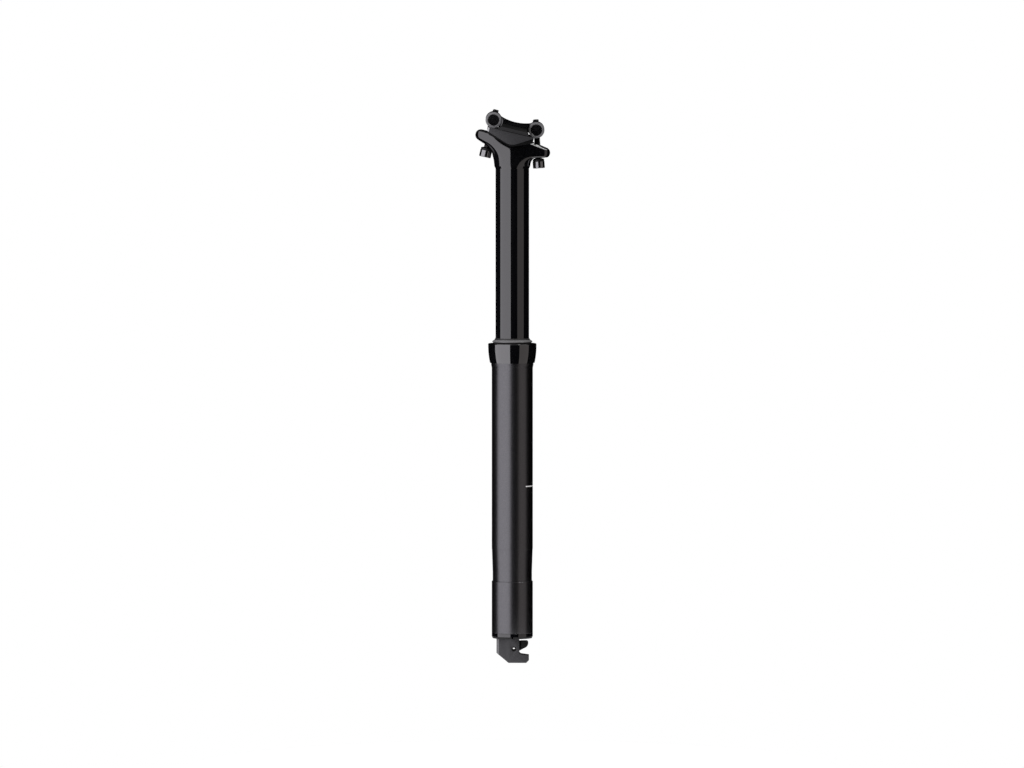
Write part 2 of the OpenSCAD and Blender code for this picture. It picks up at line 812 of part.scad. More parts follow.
module barrel_nut(u, lean) {
    color([0.03, 0.03, 0.03]) at_bolt(u, lean) difference() {
        rotate([90, 0, 0]) cylinder(r = barrel_r, h = barrel_len, center = true);
        cylinder(r = bolt_r + thread_gap, h = 4 * barrel_r, center = true);
    }
}

module rear_barrel_nut() {
    barrel_nut(-eye_u, 0);
}

module front_barrel_nut() {
    barrel_nut(eye_u, front_lean);
}

module clamp_bolt(u, lean, seat) {
    under = seat + seat_gap + washer_h;
    color([0.02, 0.02, 0.02]) at_bolt(u, lean) difference() {
        union() {
            translate([0, 0, -under]) cylinder(r = bolt_r, h = under + bolt_tip - bolt_edge);
            translate([0, 0, bolt_tip - bolt_edge])
                cylinder(r1 = bolt_r, r2 = bolt_r - bolt_edge, h = bolt_edge);
            translate([0, 0, -under - bolt_head_h]) cylinder(r = bolt_head_r, h = bolt_head_h);
        }
        translate([0, 0, -under - bolt_head_h - cut]) cylinder(r = hex_r, h = hex_depth + cut, $fn = 6);
    }
}

module rear_bolt() {
    clamp_bolt(-eye_u, 0, rear_seat);
}

module front_bolt() {
    clamp_bolt(eye_u, front_lean, front_seat);
}

module domed_washer(u, lean, seat) {
    top = -seat - seat_gap;
    color([0.03, 0.03, 0.03]) at_bolt(u, lean) difference() {
        intersection() {
            translate([0, 0, top - washer_h]) cylinder(r = washer_r, h = washer_h);
            translate([0, 0, top - washer_ball]) sphere(r = washer_ball);
        }
        cylinder(r = bolt_r + fit, h = through, center = true);
    }
}

module rear_washer() {
    domed_washer(-eye_u, 0, rear_seat);
}

module front_washer() {
    domed_washer(eye_u, front_lean, front_seat);
}

lower_tube();
collar();
wiper_seal();
upper_bushing();
end_housing();
end_plug();
shaft_lock_nut();
bottom_bumper();
cartridge_shaft();
cartridge_piston();
piston_seal();
lever_bracket();
pivot_pin();
inner_post();
saddle_head();
foot_bushing();
guide_keys();
foot_nut();
cartridge_body();
cartridge_seal_head();
shaft_seal();
cartridge_cap();
floating_piston();
floating_seal();
release_rod();
release_lever();
rail_cradle();
upper_clamp();
rear_barrel_nut();
front_barrel_nut();
rear_bolt();
front_bolt();
rear_washer();
front_washer();
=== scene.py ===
"""Looks of the dropper seatpost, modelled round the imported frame. Metres; +X is the front, +Z is up."""
import bpy
import math
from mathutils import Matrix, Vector


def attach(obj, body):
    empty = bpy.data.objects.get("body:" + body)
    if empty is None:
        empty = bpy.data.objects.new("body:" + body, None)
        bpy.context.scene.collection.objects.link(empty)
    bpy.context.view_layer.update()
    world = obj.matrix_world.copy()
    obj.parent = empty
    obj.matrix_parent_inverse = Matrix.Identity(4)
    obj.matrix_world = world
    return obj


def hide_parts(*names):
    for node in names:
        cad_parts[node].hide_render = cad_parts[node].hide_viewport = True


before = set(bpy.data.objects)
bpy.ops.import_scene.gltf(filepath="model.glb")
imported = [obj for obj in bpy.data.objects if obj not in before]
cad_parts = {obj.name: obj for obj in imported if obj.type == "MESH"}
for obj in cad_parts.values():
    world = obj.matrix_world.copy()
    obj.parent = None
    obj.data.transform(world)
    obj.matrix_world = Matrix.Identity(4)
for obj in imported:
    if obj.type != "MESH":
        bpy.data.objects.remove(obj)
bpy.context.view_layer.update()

MM = 0.001

# The photograph: 1024 x 768, one pixel is 0.770 mm at the post, the post's axis is at x = 512.3
PHOTO_W, PHOTO_H = 1024, 768
MM_PER_PIXEL = 0.77036
AXIS_PIXEL = 512.31
ORIGIN_PIXEL = 367.5
CAMERA_AWAY = 10.0
CAMERA_RISE = 3.2
CAMERA_CLIP = 100
SENSOR = 36.0

# The studio, in metres
LAMP_AWAY, LAMP_H = 2.0, 9.0
LOW_LAMP_H, LOW_LAMP_Z = 2.9, -2.05
TENT_R, TENT_H = 2.6, 9.6
FLOOR_R, FLOOR_Z = 0.25, -0.31
FILL_LIGHT, FLOOR_GLOW = 0.35, 0.5

# Sizes in mm. Most are the solids' own; the wiper's lip, the clamp's eyes and the cradle's skirts follow the
# photograph a little more closely.
FIT = 0.05

# Lower tube and the housing under its neck
TUBE_R = 15.8
BORE_R = 13.9
THREAD_R, THREAD_TOP = 14.907, 14.0
NECK_R = 15.1
TUBE_END = -176.6
HOUSING_TOP = -164.6
HOUSING_Z = -204.7
NECK_START = -157.5
LINE_Z, LINE_W, LINE_DEEP = -140.0, 0.5, 0.15
FLANGE_R, FLANGE_TOP = 16.27, 3.8
FLANGE_START, FLANGE_RISE, FLANGE_STEPS = -0.6, 3.2, 12
MARK_Z, MARK_H, MARK_TURN = -91.5, 0.8, 49
INK_GAP, INK = 0.01, 0.03

# Collar and wiper
COLLAR_R, COLLAR_TOP = 18.6, 18.6
COLLAR_FOOT_R = 17.2
COLLAR_SIDE_TOP, COLLAR_SIDE_STEPS = 16.9, 16
COLLAR_RIM = 0.4
COLLAR_MOUTH_R = 14.5
COLLAR_BORE_R, COLLAR_SHELF = 13.3, 15.25
WIPER_SEAT_R, WIPER_SEAT_Z, WIPER_SEAT_TOP = 15.25, 16.3, 17.7
WIPER_LIP_TOP = 22.8
# Wiper heights between which it keeps its grey; above and below them it is painted dark as shade
WIPER_SHADE_UNDER_Z, WIPER_SHADE_OVER_Z = 19.6, 21.7

# Inner post and its guide keys
POST_R = 12.9
POST_BORE_R = 10.9
POST_Z, POST_TOP = -57.0, 167.95
POST_FOOT_R, POST_STEP = 12.4, -42.0
KEY_RING, KEY_R = 13.25, 1.2
KEY_Z, KEY_LEN = -38.0, 14.0
KEY_BEARINGS = (60, 180, 300)

# Plug at the foot
PLUG_TOP, PLUG_Z = -189.5, -208.8
PLUG_RING_Z, PLUG_EDGE = -207.3, 0.7
SHAFT_R, SHAFT_SEAT = 4.5, -203.5
ROD_HOLE_R = 2.2
BOSS_R, BOSS_H = 8.0, 3.0
NOTCH = (4.0, 1.2, 3.0)

# Cable lever and its bracket
PIVOT = (1.2, -216.9)
PIN_R, PIN_BORE_R = 1.8, 1.05
BRACKET_HALF = 7.5
BRACKET_REAR, BRACKET_FRONT = -12.2, 12.8
BRACKET_Z = PIVOT[1] - 10.7
HEEL_DROP, KEEL_X, TOE = 3.0, -2.9, 2.1
JAW_Z = PIVOT[1] - 5.1
CHEEK_X = 5.4
THROAT_R, THROAT_RISE = 1.9, 0.8
SLOT_BACK, SLOT_FRONT, SLOT_HALF, SLOT_DROP = -7.6, 6.4, 3.3, 4.1
BUTTON_ROOM_R, BUTTON_ROOM_RISE = 4.9, 4.35
STOP_R, STOP_DEEP = 2.6, 4.3
CABLE_X, CABLE_SLIT, SLIT_H = 9.2, 1.8, 10.0
HOOK_HALF, HOOK_ROOT_HALF = 4.5, 3.0
HOOK_TOP, HOOK_FOOT = 6.0, -0.7
HUB_R = 3.6
NOSE, NOSE_R = (-4.6, 3.1), 1.6
CLAW_ROOT = 5.5
NIPPLE_R, NIPPLE_FLOOR = 2.4, 3.2
FOOT_THROUGH = 20.0

# Saddle clamp, in its own tilted frame: u along it, n up from its barrel nuts
TILT = math.radians(13.3)
CLAMP = (2.07, 187.2)
CLAMP_THROUGH = 40.0
RAIL_R, RAIL_Y, RAIL_DROP = 3.5, 22.0, 5.6
EYE_U, EYE_R, EYE_HALF = 16.9, 6.2, 10.0
EYE_SLOT_HALF = 2.85
UPPER_R, UPPER_LIP, UPPER_LOW = 5.1, -5.4, -3.4
YOKE_SHOULDER, YOKE_H = 0.8, 8.0
DISH_R, DISH_TOP = 32.0, 1.4
ARM_SHADE = -2.8
CRADLE_REAR, CRADLE_FRONT, CRADLE_LIP = -19.4, 16.3, -5.8
CRADLE_IN, CRADLE_OUT = 14.35, 27.1
SKIRT_REAR, SKIRT_T = -20.0, 1.4
APEX_U = 0.3
CRADLE_V = (CRADLE_REAR, -10.4, -16.6, 6, -10.2)
SKIRT_V = (SKIRT_REAR, -8.6, -15.8, 10, -6.4)
ROCK_R, ROCK_H, ROCK_U = 24.0, 9.0, 11.0
POCKET_U, POCKET_Y, POCKET_DEEP = 8.0, 11.0, 4.5

# Clamp bolts, washers and barrel nuts
BARREL_R, BARREL_HALF = 4.25, 9.5
NUT_GAP = 0.32
BOLT_R, BOLT_ROOT_R = 2.45, 2.0
BOLT_HEAD_R, BOLT_HEAD_H = 4.55, 5.4
BOLT_TIP, BOLT_TIP_R = 7.9, 1.6
BOLT_THREAD_Z, BOLT_PITCH = -17.0, 0.8
SOCKET_RING_R, HEX_R = 2.9, 2.3
WASHER_R, WASHER_HOLE_R = 4.4, 2.5
WASHER_H, WASHER_DOME = 2.6, 1.2
SEAT_GAP = 0.3
REAR_SEAT, REAR_LEAN = 21.3, 0.0
FRONT_SEAT, FRONT_LEAN = 21.4, math.radians(17.2)

# Forged head
HEAD_R, HEAD_Z, UNDER_Z = 13.85, 153.7, 161.8
HEAD_LOW, HEAD_HIGH, HEAD_FAR = HEAD_Z - 1, CLAMP[1] + 10, 45
SOCKET_TOP = 168.0
REAR_REACH, FRONT_REACH, TIP_HALF = 28.5, 29.2, 8.0
REAR_TIP, REAR_TIP_R = (-24.3, 179.3), 4.2
FRONT_TIP, FRONT_TIP_R = (25.4, 165.6), 3.8
REAR_SLOPE, REAR_FILLET, FRONT_FILLET = 55.0, 20.0, 6.0
TIP_ROUND = 18.0
WING_TURN = math.degrees(math.atan((HEAD_R - TIP_HALF) / FRONT_REACH))
WING_N, WING_U, WING_EDGE_U, WING_BEVEL = -9.7, 15.0, 13.0, 1.5
FLARE_STEPS, FLARE_SQUEEZE = 16, 0.3
TROUGH_GAP, TROUGH_EDGE = 0.1, 2.6
FORGING_GRAIN, FORGING_ROUNDS = 0.36, 14
CREASE_ROUNDS = 60

# Steps round a turned piece, the turn that lays one along Y, and the reach of a test for what lies on a face
TURN_STEPS, EYE_STEPS, SMALL_STEPS, KEYWAY_STEPS = 128, 64, 48, 24
ALONG_Y = (math.radians(90), 0, 0)
NEAR = 0.01


def photo_camera():
    """Long lens square to the bicycle's right side, with the post's axis where the photograph has it."""
    data = bpy.data.cameras.new("photo_camera")
    camera = bpy.data.objects.new("photo_camera", data)
    bpy.context.scene.collection.objects.link(camera)
    frame_w = PHOTO_W * MM_PER_PIXEL * MM
    data.sensor_width = SENSOR
    data.lens = SENSOR * CAMERA_AWAY / frame_w
    data.clip_end = CAMERA_CLIP
    rise = math.radians(CAMERA_RISE)
    look = Vector(((PHOTO_W / 2 - AXIS_PIXEL) * MM_PER_PIXEL * MM, 0,
                   (ORIGIN_PIXEL - PHOTO_H / 2) * MM_PER_PIXEL * MM))
    camera.location = look + CAMERA_AWAY * Vector((0, -math.cos(rise), math.sin(rise)))
    camera.rotation_euler = (math.radians(90) - rise, 0, 0)
    bpy.context.scene.camera = camera


def node(tree, kind, **values):
    """A shader node with its settings; keys that name an input set that input."""
    made = tree.nodes.new("ShaderNode" + kind)
    for key, value in values.items():
        if key in made.inputs:
            made.inputs[key].default_value = value
        else:
            setattr(made, key, value)
    return made


def seen_by_eye(tree):
    """1 for what the eye sees, straight, in a reflection or through glass, and 0 for light on a surface."""
    path = node(tree, "LightPath")
    straight = node(tree, "Math", operation="MAXIMUM")
    all_ways = node(tree, "Math", operation="MAXIMUM")
    tree.links.new(path.outputs["Is Camera Ray"], straight.inputs[0])
    tree.links.new(path.outputs["Is Glossy Ray"], straight.inputs[1])
    tree.links.new(straight.outputs[0], all_ways.inputs[0])
    tree.links.new(path.outputs["Is Transmission Ray"], all_ways.inputs[1])
    return all_ways.outputs[0]


def plain_light():
    """White behind and round the part for the eye, and a dim even light for the rest."""
    scene = bpy.context.scene
    scene.view_settings.view_transform = "Standard"
    world = bpy.data.worlds.new("studio")
    scene.world = world
    world.use_nodes = True
    tree = world.node_tree
    tree.nodes.clear()
    white = node(tree, "Background", Color=(1, 1, 1, 1), Strength=1.0)
    fill = node(tree, "Background", Color=(1, 1, 1, 1), Strength=FILL_LIGHT)
    mix = node(tree, "MixShader")
    out = node(tree, "OutputWorld")
    tree.links.new(seen_by_eye(tree), mix.inputs[0])
    tree.links.new(fill.outputs[0], mix.inputs[1])
    tree.links.new(white.outputs[0], mix.inputs[2])
    tree.links.new(mix.outputs[0], out.inputs[0])


def lamp_panel(name, place, turn, width, height, glow, tint=(1, 1, 1)):
    """Lamp panel that the camera doesn't see; its glow is the same for each bit of its face."""
    data = bpy.data.lights.new(name, "AREA")
    data.shape = "RECTANGLE"
    data.size = width
    data.size_y = height
    data.color = tint
    data.energy = glow * math.pi * data.size * data.size_y
    lamp = bpy.data.objects.new(name, data)
    bpy.context.scene.collection.objects.link(lamp)
    lamp.location = place
    lamp.rotation_euler = turn
    lamp.visible_camera = False


def softbox(name, start, end, height, glow, tint, level=0.0):
    """Tall lamp panel that the part sees between two bearings, in degrees from the camera to the right."""
    a, b = math.radians(start), math.radians(end)
    middle, half = (a + b) / 2, (b - a) / 2
    place = (LAMP_AWAY * math.sin(middle), -LAMP_AWAY * math.cos(middle), level)
    width = 2 * LAMP_AWAY * math.tan(half)
    lamp_panel(name, place, (math.radians(90), 0, middle), width, height, glow, tint)


def square_softbox(name, place, aim, size, glow):
    """Square lamp panel at a place in metres, turned to the point that it aims at."""
    turn = (Vector(aim) - Vector(place)).to_track_quat("-Z", "Y").to_euler()
    lamp_panel(name, place, turn, size, size, glow)


def deselect():
    """Object mode with nothing selected, before a new primitive is added."""
    if bpy.context.mode != "OBJECT":
        bpy.ops.object.mode_set(mode="OBJECT")
    bpy.ops.object.select_all(action="DESELECT")


def pick(piece):
    """Makes one piece the only selected one."""
    deselect()
    piece.select_set(True)
    bpy.context.view_layer.objects.active = piece


def black_tent():
    """Round black cloth behind the lamps, closed above and below, which only reflections see."""
    deselect()
    bpy.ops.mesh.primitive_cylinder_add(vertices=64, radius=TENT_R, depth=TENT_H, end_fill_type="NGON")
    tent = bpy.context.active_object
    tent.name = "black_tent"
    cloth = bpy.data.materials.new("black_cloth")
    cloth.use_nodes = True
    shader = cloth.node_tree.nodes["Principled BSDF"]
    shader.inputs["Base Color"].default_value = (0.001, 0.001, 0.001, 1)
    shader.inputs["Specular IOR Level"].default_value = 0
    tent.data.materials.append(cloth)
    tent.visible_camera = False
    tent.visible_diffuse = False
    tent.visible_shadow = False
    tent.visible_transmission = False


def pale_floor():
    """Plain pale floor under the part, as white as the background, which keeps a soft shadow."""
    deselect()
    bpy.ops.mesh.primitive_circle_add(vertices=96, radius=FLOOR_R, fill_type="NGON", location=(0, 0, FLOOR_Z))
    floor = bpy.context.active_object
    floor.name = "pale_floor"
    paint = bpy.data.materials.new("floor_paint")
    paint.use_nodes = True
    tree = paint.node_tree
    tree.nodes.clear()
    matt = node(tree, "BsdfDiffuse", Color=(0.8, 0.8, 0.8, 1))
    glow = node(tree, "Emission", Color=(1, 1, 1, 1))
    both = node(tree, "AddShader")
    out = node(tree, "OutputMaterial")
    lift = node(tree, "Math", operation="MULTIPLY")
    lift.inputs[1].default_value = FLOOR_GLOW
    tree.links.new(seen_by_eye(tree), lift.inputs[0])
    tree.links.new(lift.outputs[0], glow.inputs["Strength"])
    tree.links.new(matt.outputs[0], both.inputs[0])
    tree.links.new(glow.outputs[0], both.inputs[1])
    tree.links.new(both.outputs[0], out.inputs[0])
    floor.data.materials.append(paint)


def finish(name, dark, light, rough, spread=0.04, grain=400, bump=0.0, bump_grain=4000, stretch=(1, 1, 1),
           **shader_values):
    """Metal, paint or rubber: two shades in a soft noise, uneven roughness and, if asked, a fine grain."""
    made = bpy.data.materials.new(name)
    made.use_nodes = True
    tree = made.node_tree
    shader = tree.nodes["Principled BSDF"]
    for key, value in shader_values.items():
        shader.inputs[key.replace("_", " ")].default_value = value
    place = node(tree, "TexCoord")
    turn = node(tree, "Mapping", Scale=stretch)
    cloud = node(tree, "TexNoise", Scale=grain, Detail=4.0)
    shades = node(tree, "ValToRGB")
    shades.color_ramp.elements[0].position = 0.35
    shades.color_ramp.elements[1].position = 0.65
    shades.color_ramp.elements[0].color = (*dark, 1)
    shades.color_ramp.elements[1].color = (*light, 1)
    wear = node(tree, "MapRange")
    wear.inputs["To Min"].default_value = max(rough - spread, 0.01)
    wear.inputs["To Max"].default_value = rough + spread
    tree.links.new(place.outputs["Object"], turn.inputs["Vector"])
    tree.links.new(turn.outputs["Vector"], cloud.inputs["Vector"])
    tree.links.new(cloud.outputs["Fac"], shades.inputs["Fac"])
    tree.links.new(shades.outputs["Color"], shader.inputs["Base Color"])
    tree.links.new(cloud.outputs["Fac"], wear.inputs["Value"])
    tree.links.new(wear.outputs["Result"], shader.inputs["Roughness"])
    if bump:
        fine = node(tree, "TexNoise", Scale=bump_grain, Detail=2.0)
        relief = node(tree, "Bump", Strength=bump, Distance=0.05 * MM)
        tree.links.new(turn.outputs["Vector"], fine.inputs["Vector"])
        tree.links.new(fine.outputs["Fac"], relief.inputs["Height"])
        tree.links.new(relief.outputs["Normal"], shader.inputs["Normal"])
    return made


def close_up():
    """Merges what meets, turns the faces outwards and goes back to object mode."""
    bpy.ops.mesh.select_all(action="SELECT")
    bpy.ops.mesh.remove_doubles(threshold=1e-7)
    bpy.ops.mesh.normals_make_consistent(inside=False)
    bpy.ops.object.mode_set(mode="OBJECT")


def turned(name, profile, hollow=True, steps=TURN_STEPS):
    """Turns a profile of (radius, height) in mm: each ring is pulled out of the last one and resized."""
    deselect()
    bpy.ops.mesh.primitive_circle_add(vertices=steps, radius=profile[0][0] * MM,
                                      fill_type="NOTHING" if hollow else "NGON",
                                      location=(0, 0, profile[0][1] * MM))
    piece = bpy.context.active_object
    piece.name = name
    bpy.ops.object.transform_apply(location=True, rotation=True, scale=True)
    bpy.ops.object.mode_set(mode="EDIT")
    path = profile + profile[:1] if hollow else profile
    for (r0, z0), (r1, z1) in zip(path, path[1:]):
        bpy.ops.mesh.extrude_region_move(TRANSFORM_OT_translate={"value": (0, 0, (z1 - z0) * MM)})
        bpy.ops.transform.resize(value=(r1 / r0, r1 / r0, 1), center_override=(0, 0, z1 * MM))
    close_up()
    return piece


def both_ends(end):
    """Profile of a turned piece with the same end above and below."""
    return [(r, -z) for r, z in end] + [(r, z) for r, z in reversed(end)]


def first_point(name, place):
    """Starts a piece as one point at a place in metres, in edit mode."""
    deselect()
    bpy.ops.mesh.primitive_plane_add(size=MM)
    piece = bpy.context.active_object
    piece.name = name
    bpy.ops.object.mode_set(mode="EDIT")
    bpy.ops.mesh.merge(type="CENTER")
    bpy.ops.transform.translate(value=place)
    return piece


def drawn(name, axis, outline, start, end):
    """Plate square to an axis: an outline in mm, drawn point by point at start, filled and pulled to end."""
    def spot(a, b, c):
        place = [a, b]
        place.insert("xyz".index(axis), c)
        return Vector(place) * MM
    points = [spot(a, b, start) for a, b in outline]
    piece = first_point(name, points[0])
    for a, b in zip(points, points[1:] + points[:1]):
        bpy.ops.mesh.extrude_vertices_move(TRANSFORM_OT_translate={"value": b - a})
    bpy.ops.mesh.select_all(action="SELECT")
    bpy.ops.mesh.remove_doubles(threshold=1e-6)
    bpy.ops.mesh.edge_face_add()
    bpy.ops.mesh.extrude_region_move(TRANSFORM_OT_translate={"value": spot(0, 0, end - start)})
    close_up()
    return piece


def block(name, x0, x1, y0, y1, z0, z1):
    """Square block between its corners in mm."""
    return drawn(name, "z", [(x0, y0), (x1, y0), (x1, y1), (x0, y1)], z0, z1)


def rod(axis, r, a, b, start, end, steps=SMALL_STEPS):
    """Round rod along an axis from start to end in mm; a and b are its place on the other two axes."""
    piece = turned("rod", [(r, -1), (r, 1)], hollow=False, steps=steps)
    half, middle = (end - start) / 2, (end + start) / 2
    piece.scale = (1, 1, half)
    turn = {"x": (0, math.radians(90), 0), "y": ALONG_Y, "z": (0, 0, 0)}[axis]
    place = [a, b]
    place.insert("xyz".index(axis), middle)
    put(piece, *place, turn)
    return piece


def apply_all(piece):
    """Applies the piece's modifiers in their order."""
    pick(piece)
    for modifier in list(piece.modifiers):
        bpy.ops.object.modifier_apply(modifier=modifier.name)


def break_edges(piece, width, steps=2, over=30):
    """Rounds every edge sharper than an angle, as a file or a tumbler does."""
    pick(piece)
    bevel = piece.modifiers.new("edges", "BEVEL")
    bevel.width = width * MM
    bevel.segments = steps
    bevel.limit_method = "ANGLE"
    bevel.angle_limit = math.radians(over)
    apply_all(piece)


def cut_out(piece, cutter, way="DIFFERENCE"):
    """Cuts one piece with another, which is used up."""
    pick(piece)
    saw = piece.modifiers.new("saw", "BOOLEAN")
    saw.object = cutter
    saw.operation = way
    saw.solver = "EXACT"
    apply_all(piece)
    bpy.data.objects.remove(cutter)


def choose(piece, kind, where):
    """Selects the points, edges or faces that a test picks, and stays in edit mode."""
    pick(piece)
    bpy.ops.object.mode_set(mode="EDIT")
    bpy.ops.mesh.select_mode(type=kind)
    bpy.ops.mesh.select_all(action="DESELECT")
    bpy.ops.object.mode_set(mode="OBJECT")
    mesh = piece.data
    if kind == "FACE":
        for face in mesh.polygons:
            face.select = bool(where(face.center / MM, face.normal))
    elif kind == "VERT":
        for vertex in mesh.vertices:
            vertex.select = bool(where(vertex.co / MM))
    else:
        for edge in mesh.edges:
            edge.select = bool(where(*(mesh.vertices[i].co / MM for i in edge.vertices)))
    bpy.ops.object.mode_set(mode="EDIT")


def round_off(piece, width, steps, where):
    """Rounds the edges that a test on their two ends picks."""
    choose(piece, "EDGE", where)
    bpy.ops.mesh.bevel(offset=width * MM, segments=steps, affect="EDGES")
    bpy.ops.mesh.select_mode(type="VERT")
    bpy.ops.object.mode_set(mode="OBJECT")


def second_finish(piece, material, where):
    """Another finish on the faces that a test on their middle and normal picks."""
    piece.data.materials.append(material)
    choose(piece, "FACE", where)
    piece.active_material_index = len(piece.data.materials) - 1
    bpy.ops.object.material_slot_assign()
    bpy.ops.mesh.select_mode(type="VERT")
    bpy.ops.object.mode_set(mode="OBJECT")


def put(piece, x=0.0, y=0.0, z=0.0, turn=(0.0, 0.0, 0.0)):
    """Turns a piece, moves it in mm and leaves its object at the origin."""
    pick(piece)
    piece.rotation_euler = turn
    piece.location = (x * MM, y * MM, z * MM)
    bpy.ops.object.transform_apply(location=True, rotation=True, scale=True)


def join(*pieces):
    """Makes several closed shells one piece, which keeps the first one's name."""
    deselect()
    for piece in pieces:
        piece.select_set(True)
    bpy.context.view_layer.objects.active = pieces[0]
    bpy.ops.object.join()
    return pieces[0]


def dress(piece, material, body, *nodes, slot=None, angle=32):
    """Gives a finished piece its smooth shading, its finish and its body, and hides the nodes that it stands
    for.
    """
    pick(piece)
    bpy.ops.object.shade_smooth_by_angle(angle=math.radians(angle))
    piece.data.materials.clear()
    piece.data.materials.append(material)
    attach(piece, body)
    if nodes:
        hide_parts(*nodes)


def arc(cx, cy, r, start, end, steps=8):
    """Points of an arc from one bearing to another, in degrees."""
    bearings = [math.radians(start + (end - start) * i / steps) for i in range(steps + 1)]
    return [(cx + r * math.cos(a), cy + r * math.sin(a)) for a in bearings]


def clamp_spot(u, n=0.0):
    """Point of the clamp's own frame, along it and up from its barrel nuts, in the part's frame."""
    return (CLAMP[0] + u * math.cos(TILT) + n * math.sin(TILT),
            CLAMP[1] - u * math.sin(TILT) + n * math.cos(TILT))


def at_clamp(piece):
    """Tilts a piece made in the clamp's own frame and moves it to its place."""
    put(piece, CLAMP[0], 0, CLAMP[1], (0, TILT, 0))


# Finishes
gloss_post = finish("gloss_post", (0.0015, 0.0015, 0.002), (0.003, 0.003, 0.0035), 0.05, 0.03, 900,
                    stretch=(1, 1, 0.02), Specular_IOR_Level=1.0)
gloss_forging = finish("gloss_forging", (0.0015, 0.0015, 0.002), (0.0035, 0.0035, 0.004), 0.07, 0.03, 500,
                       Specular_IOR_Level=1.0)
gloss_collar = finish("gloss_collar", (0.0015, 0.0015, 0.002), (0.003, 0.003, 0.0035), 0.05, 0.02, 700,
                      Specular_IOR_Level=1.0, Coat_Weight=1.0, Coat_Roughness=0.03)
satin_black = finish("satin_black", (0.100, 0.099, 0.104), (0.122, 0.121, 0.126), 0.30, 0.03, 1500,
                     bump=0.12, bump_grain=5000, Metallic=1.0)
wiper_rubber = finish("wiper_rubber", (0.115, 0.115, 0.115), (0.155, 0.155, 0.158), 0.42, 0.08, 1200,
                      bump=0.2, bump_grain=3000)
blasted_cradle = finish("blasted_cradle", (0.0185, 0.0185, 0.02), (0.0255, 0.0255, 0.0275), 0.42, 0.06, 2500,
                        bump=0.3, bump_grain=6000)
blasted_bracket = finish("blasted_bracket", (0.035, 0.035, 0.0375), (0.047, 0.047, 0.05), 0.45, 0.06, 2500,
                         bump=0.3, bump_grain=6000, Specular_IOR_Level=0.4)
blasted_lip = finish("blasted_lip", (0.011, 0.011, 0.0115), (0.019, 0.019, 0.02), 0.6, 0.06, 2500,
                     bump=0.3, bump_grain=6000, Specular_IOR_Level=0.2)
# Painted highlight on the end rims of the clamp's eyes
painted_highlight_rim = finish("painted_highlight_rim", (0.12, 0.12, 0.123), (0.17, 0.17, 0.174), 0.35, 0.06, 1500)
# Painted highlight on the bracket's rear chamfer
painted_highlight_chamfer = finish("painted_highlight_chamfer", (0.1, 0.1, 0.103), (0.16, 0.16, 0.164), 0.4, 0.06, 2500, bump=0.2)
# Painted highlight on the cradle's rear corner bevel
painted_highlight_edge = finish("painted_highlight_edge", (0.28, 0.28, 0.285), (0.38, 0.38, 0.385), 0.35, 0.06, 2500)
# Matt black; on the cradle's body behind and under the skirts it is painted shade
matt_black_and_painted_shade = finish("matt_black_and_painted_shade", (0.002, 0.002, 0.002), (0.005, 0.005, 0.005), 0.55, 0.06, 1500,
                    bump=0.2, Specular_IOR_Level=0.12)
# Dark matt black of the lever, the pin and the washers; on the bolts' shanks it is painted shade
lever_black_and_painted_shade = finish("lever_black_and_painted_shade", (0.002, 0.002, 0.002), (0.005, 0.005, 0.005), 0.5, 0.06, 1500,
                     bump=0.2, Specular_IOR_Level=0.25)
black_steel = finish("black_steel", (0.2, 0.2, 0.205), (0.27, 0.27, 0.275), 0.16, 0.05, 1800, Metallic=1.0)
yoke_black = finish("yoke_black", (0.002, 0.002, 0.0025), (0.0045, 0.0045, 0.005), 0.16, 0.05, 700,
                    Specular_IOR_Level=1.0)
# Dark rubber of the seals; on the wiper it is also painted shade above and below the bulge
seal_rubber = finish("seal_rubber", (0.012, 0.012, 0.012), (0.022, 0.022, 0.022), 0.6, 0.08, 1500, bump=0.2)
bearing_plastic = finish("bearing_plastic", (0.05, 0.045, 0.04), (0.075, 0.068, 0.06), 0.45, 0.06, 800)
bare_alloy = finish("bare_alloy", (0.5, 0.5, 0.51), (0.6, 0.6, 0.61), 0.32, 0.08, 300,
                    stretch=(0.2, 0.2, 8), Metallic=1.0)
ground_steel = finish("ground_steel", (0.42, 0.42, 0.43), (0.52, 0.52, 0.53), 0.18, 0.06, 300,
                      stretch=(0.2, 0.2, 8), Metallic=1.0)
key_brass = finish("key_brass", (0.55, 0.38, 0.14), (0.66, 0.48, 0.2), 0.3, 0.06, 600, Metallic=1.0)
white_print = finish("white_print", (0.7, 0.7, 0.7), (0.8, 0.8, 0.8), 0.5, 0.05, 1500)


def keyways(gap, z0, z1):
    """Three bars where the guide keys run, to be cut out of the tube and the post."""
    bars = []
    for bearing in KEY_BEARINGS:
        bar = turned("keyway", [(KEY_R + gap, z0), (KEY_R + gap, z1)], hollow=False, steps=KEYWAY_STEPS)
        a = math.radians(bearing)
        put(bar, KEY_RING * math.cos(a), KEY_RING * math.sin(a))
        bars.append(bar)
    return join(*bars)


def outer_tube():
    """Lower tube: stop flange under the collar, fine turned line, tapered neck."""
    flange = [(TUBE_R + (FLANGE_R - TUBE_R) * (1 - math.cos(math.pi * i / FLANGE_STEPS)) / 2,
               FLANGE_START + FLANGE_RISE * i / FLANGE_STEPS) for i in range(FLANGE_STEPS + 1)]
    line_r = TUBE_R - LINE_DEEP
    piece = turned("outer_tube", [
        (BORE_R, TUBE_END), (THREAD_R, TUBE_END), (THREAD_R, HOUSING_TOP), (NECK_R, HOUSING_TOP),
        (NECK_R, NECK_START), (line_r, LINE_Z - LINE_W), (line_r, LINE_Z), (TUBE_R, LINE_Z + 0.1), *flange,
        (FLANGE_R, FLANGE_TOP), (THREAD_R, FLANGE_TOP), (THREAD_R, THREAD_TOP), (BORE_R, THREAD_TOP)])
    cut_out(piece, keyways(FIT, TUBE_END - 1, KEY_Z + KEY_LEN + 2))
    dress(piece, satin_black, "lower", "lower_tube", slot="satin_tube")


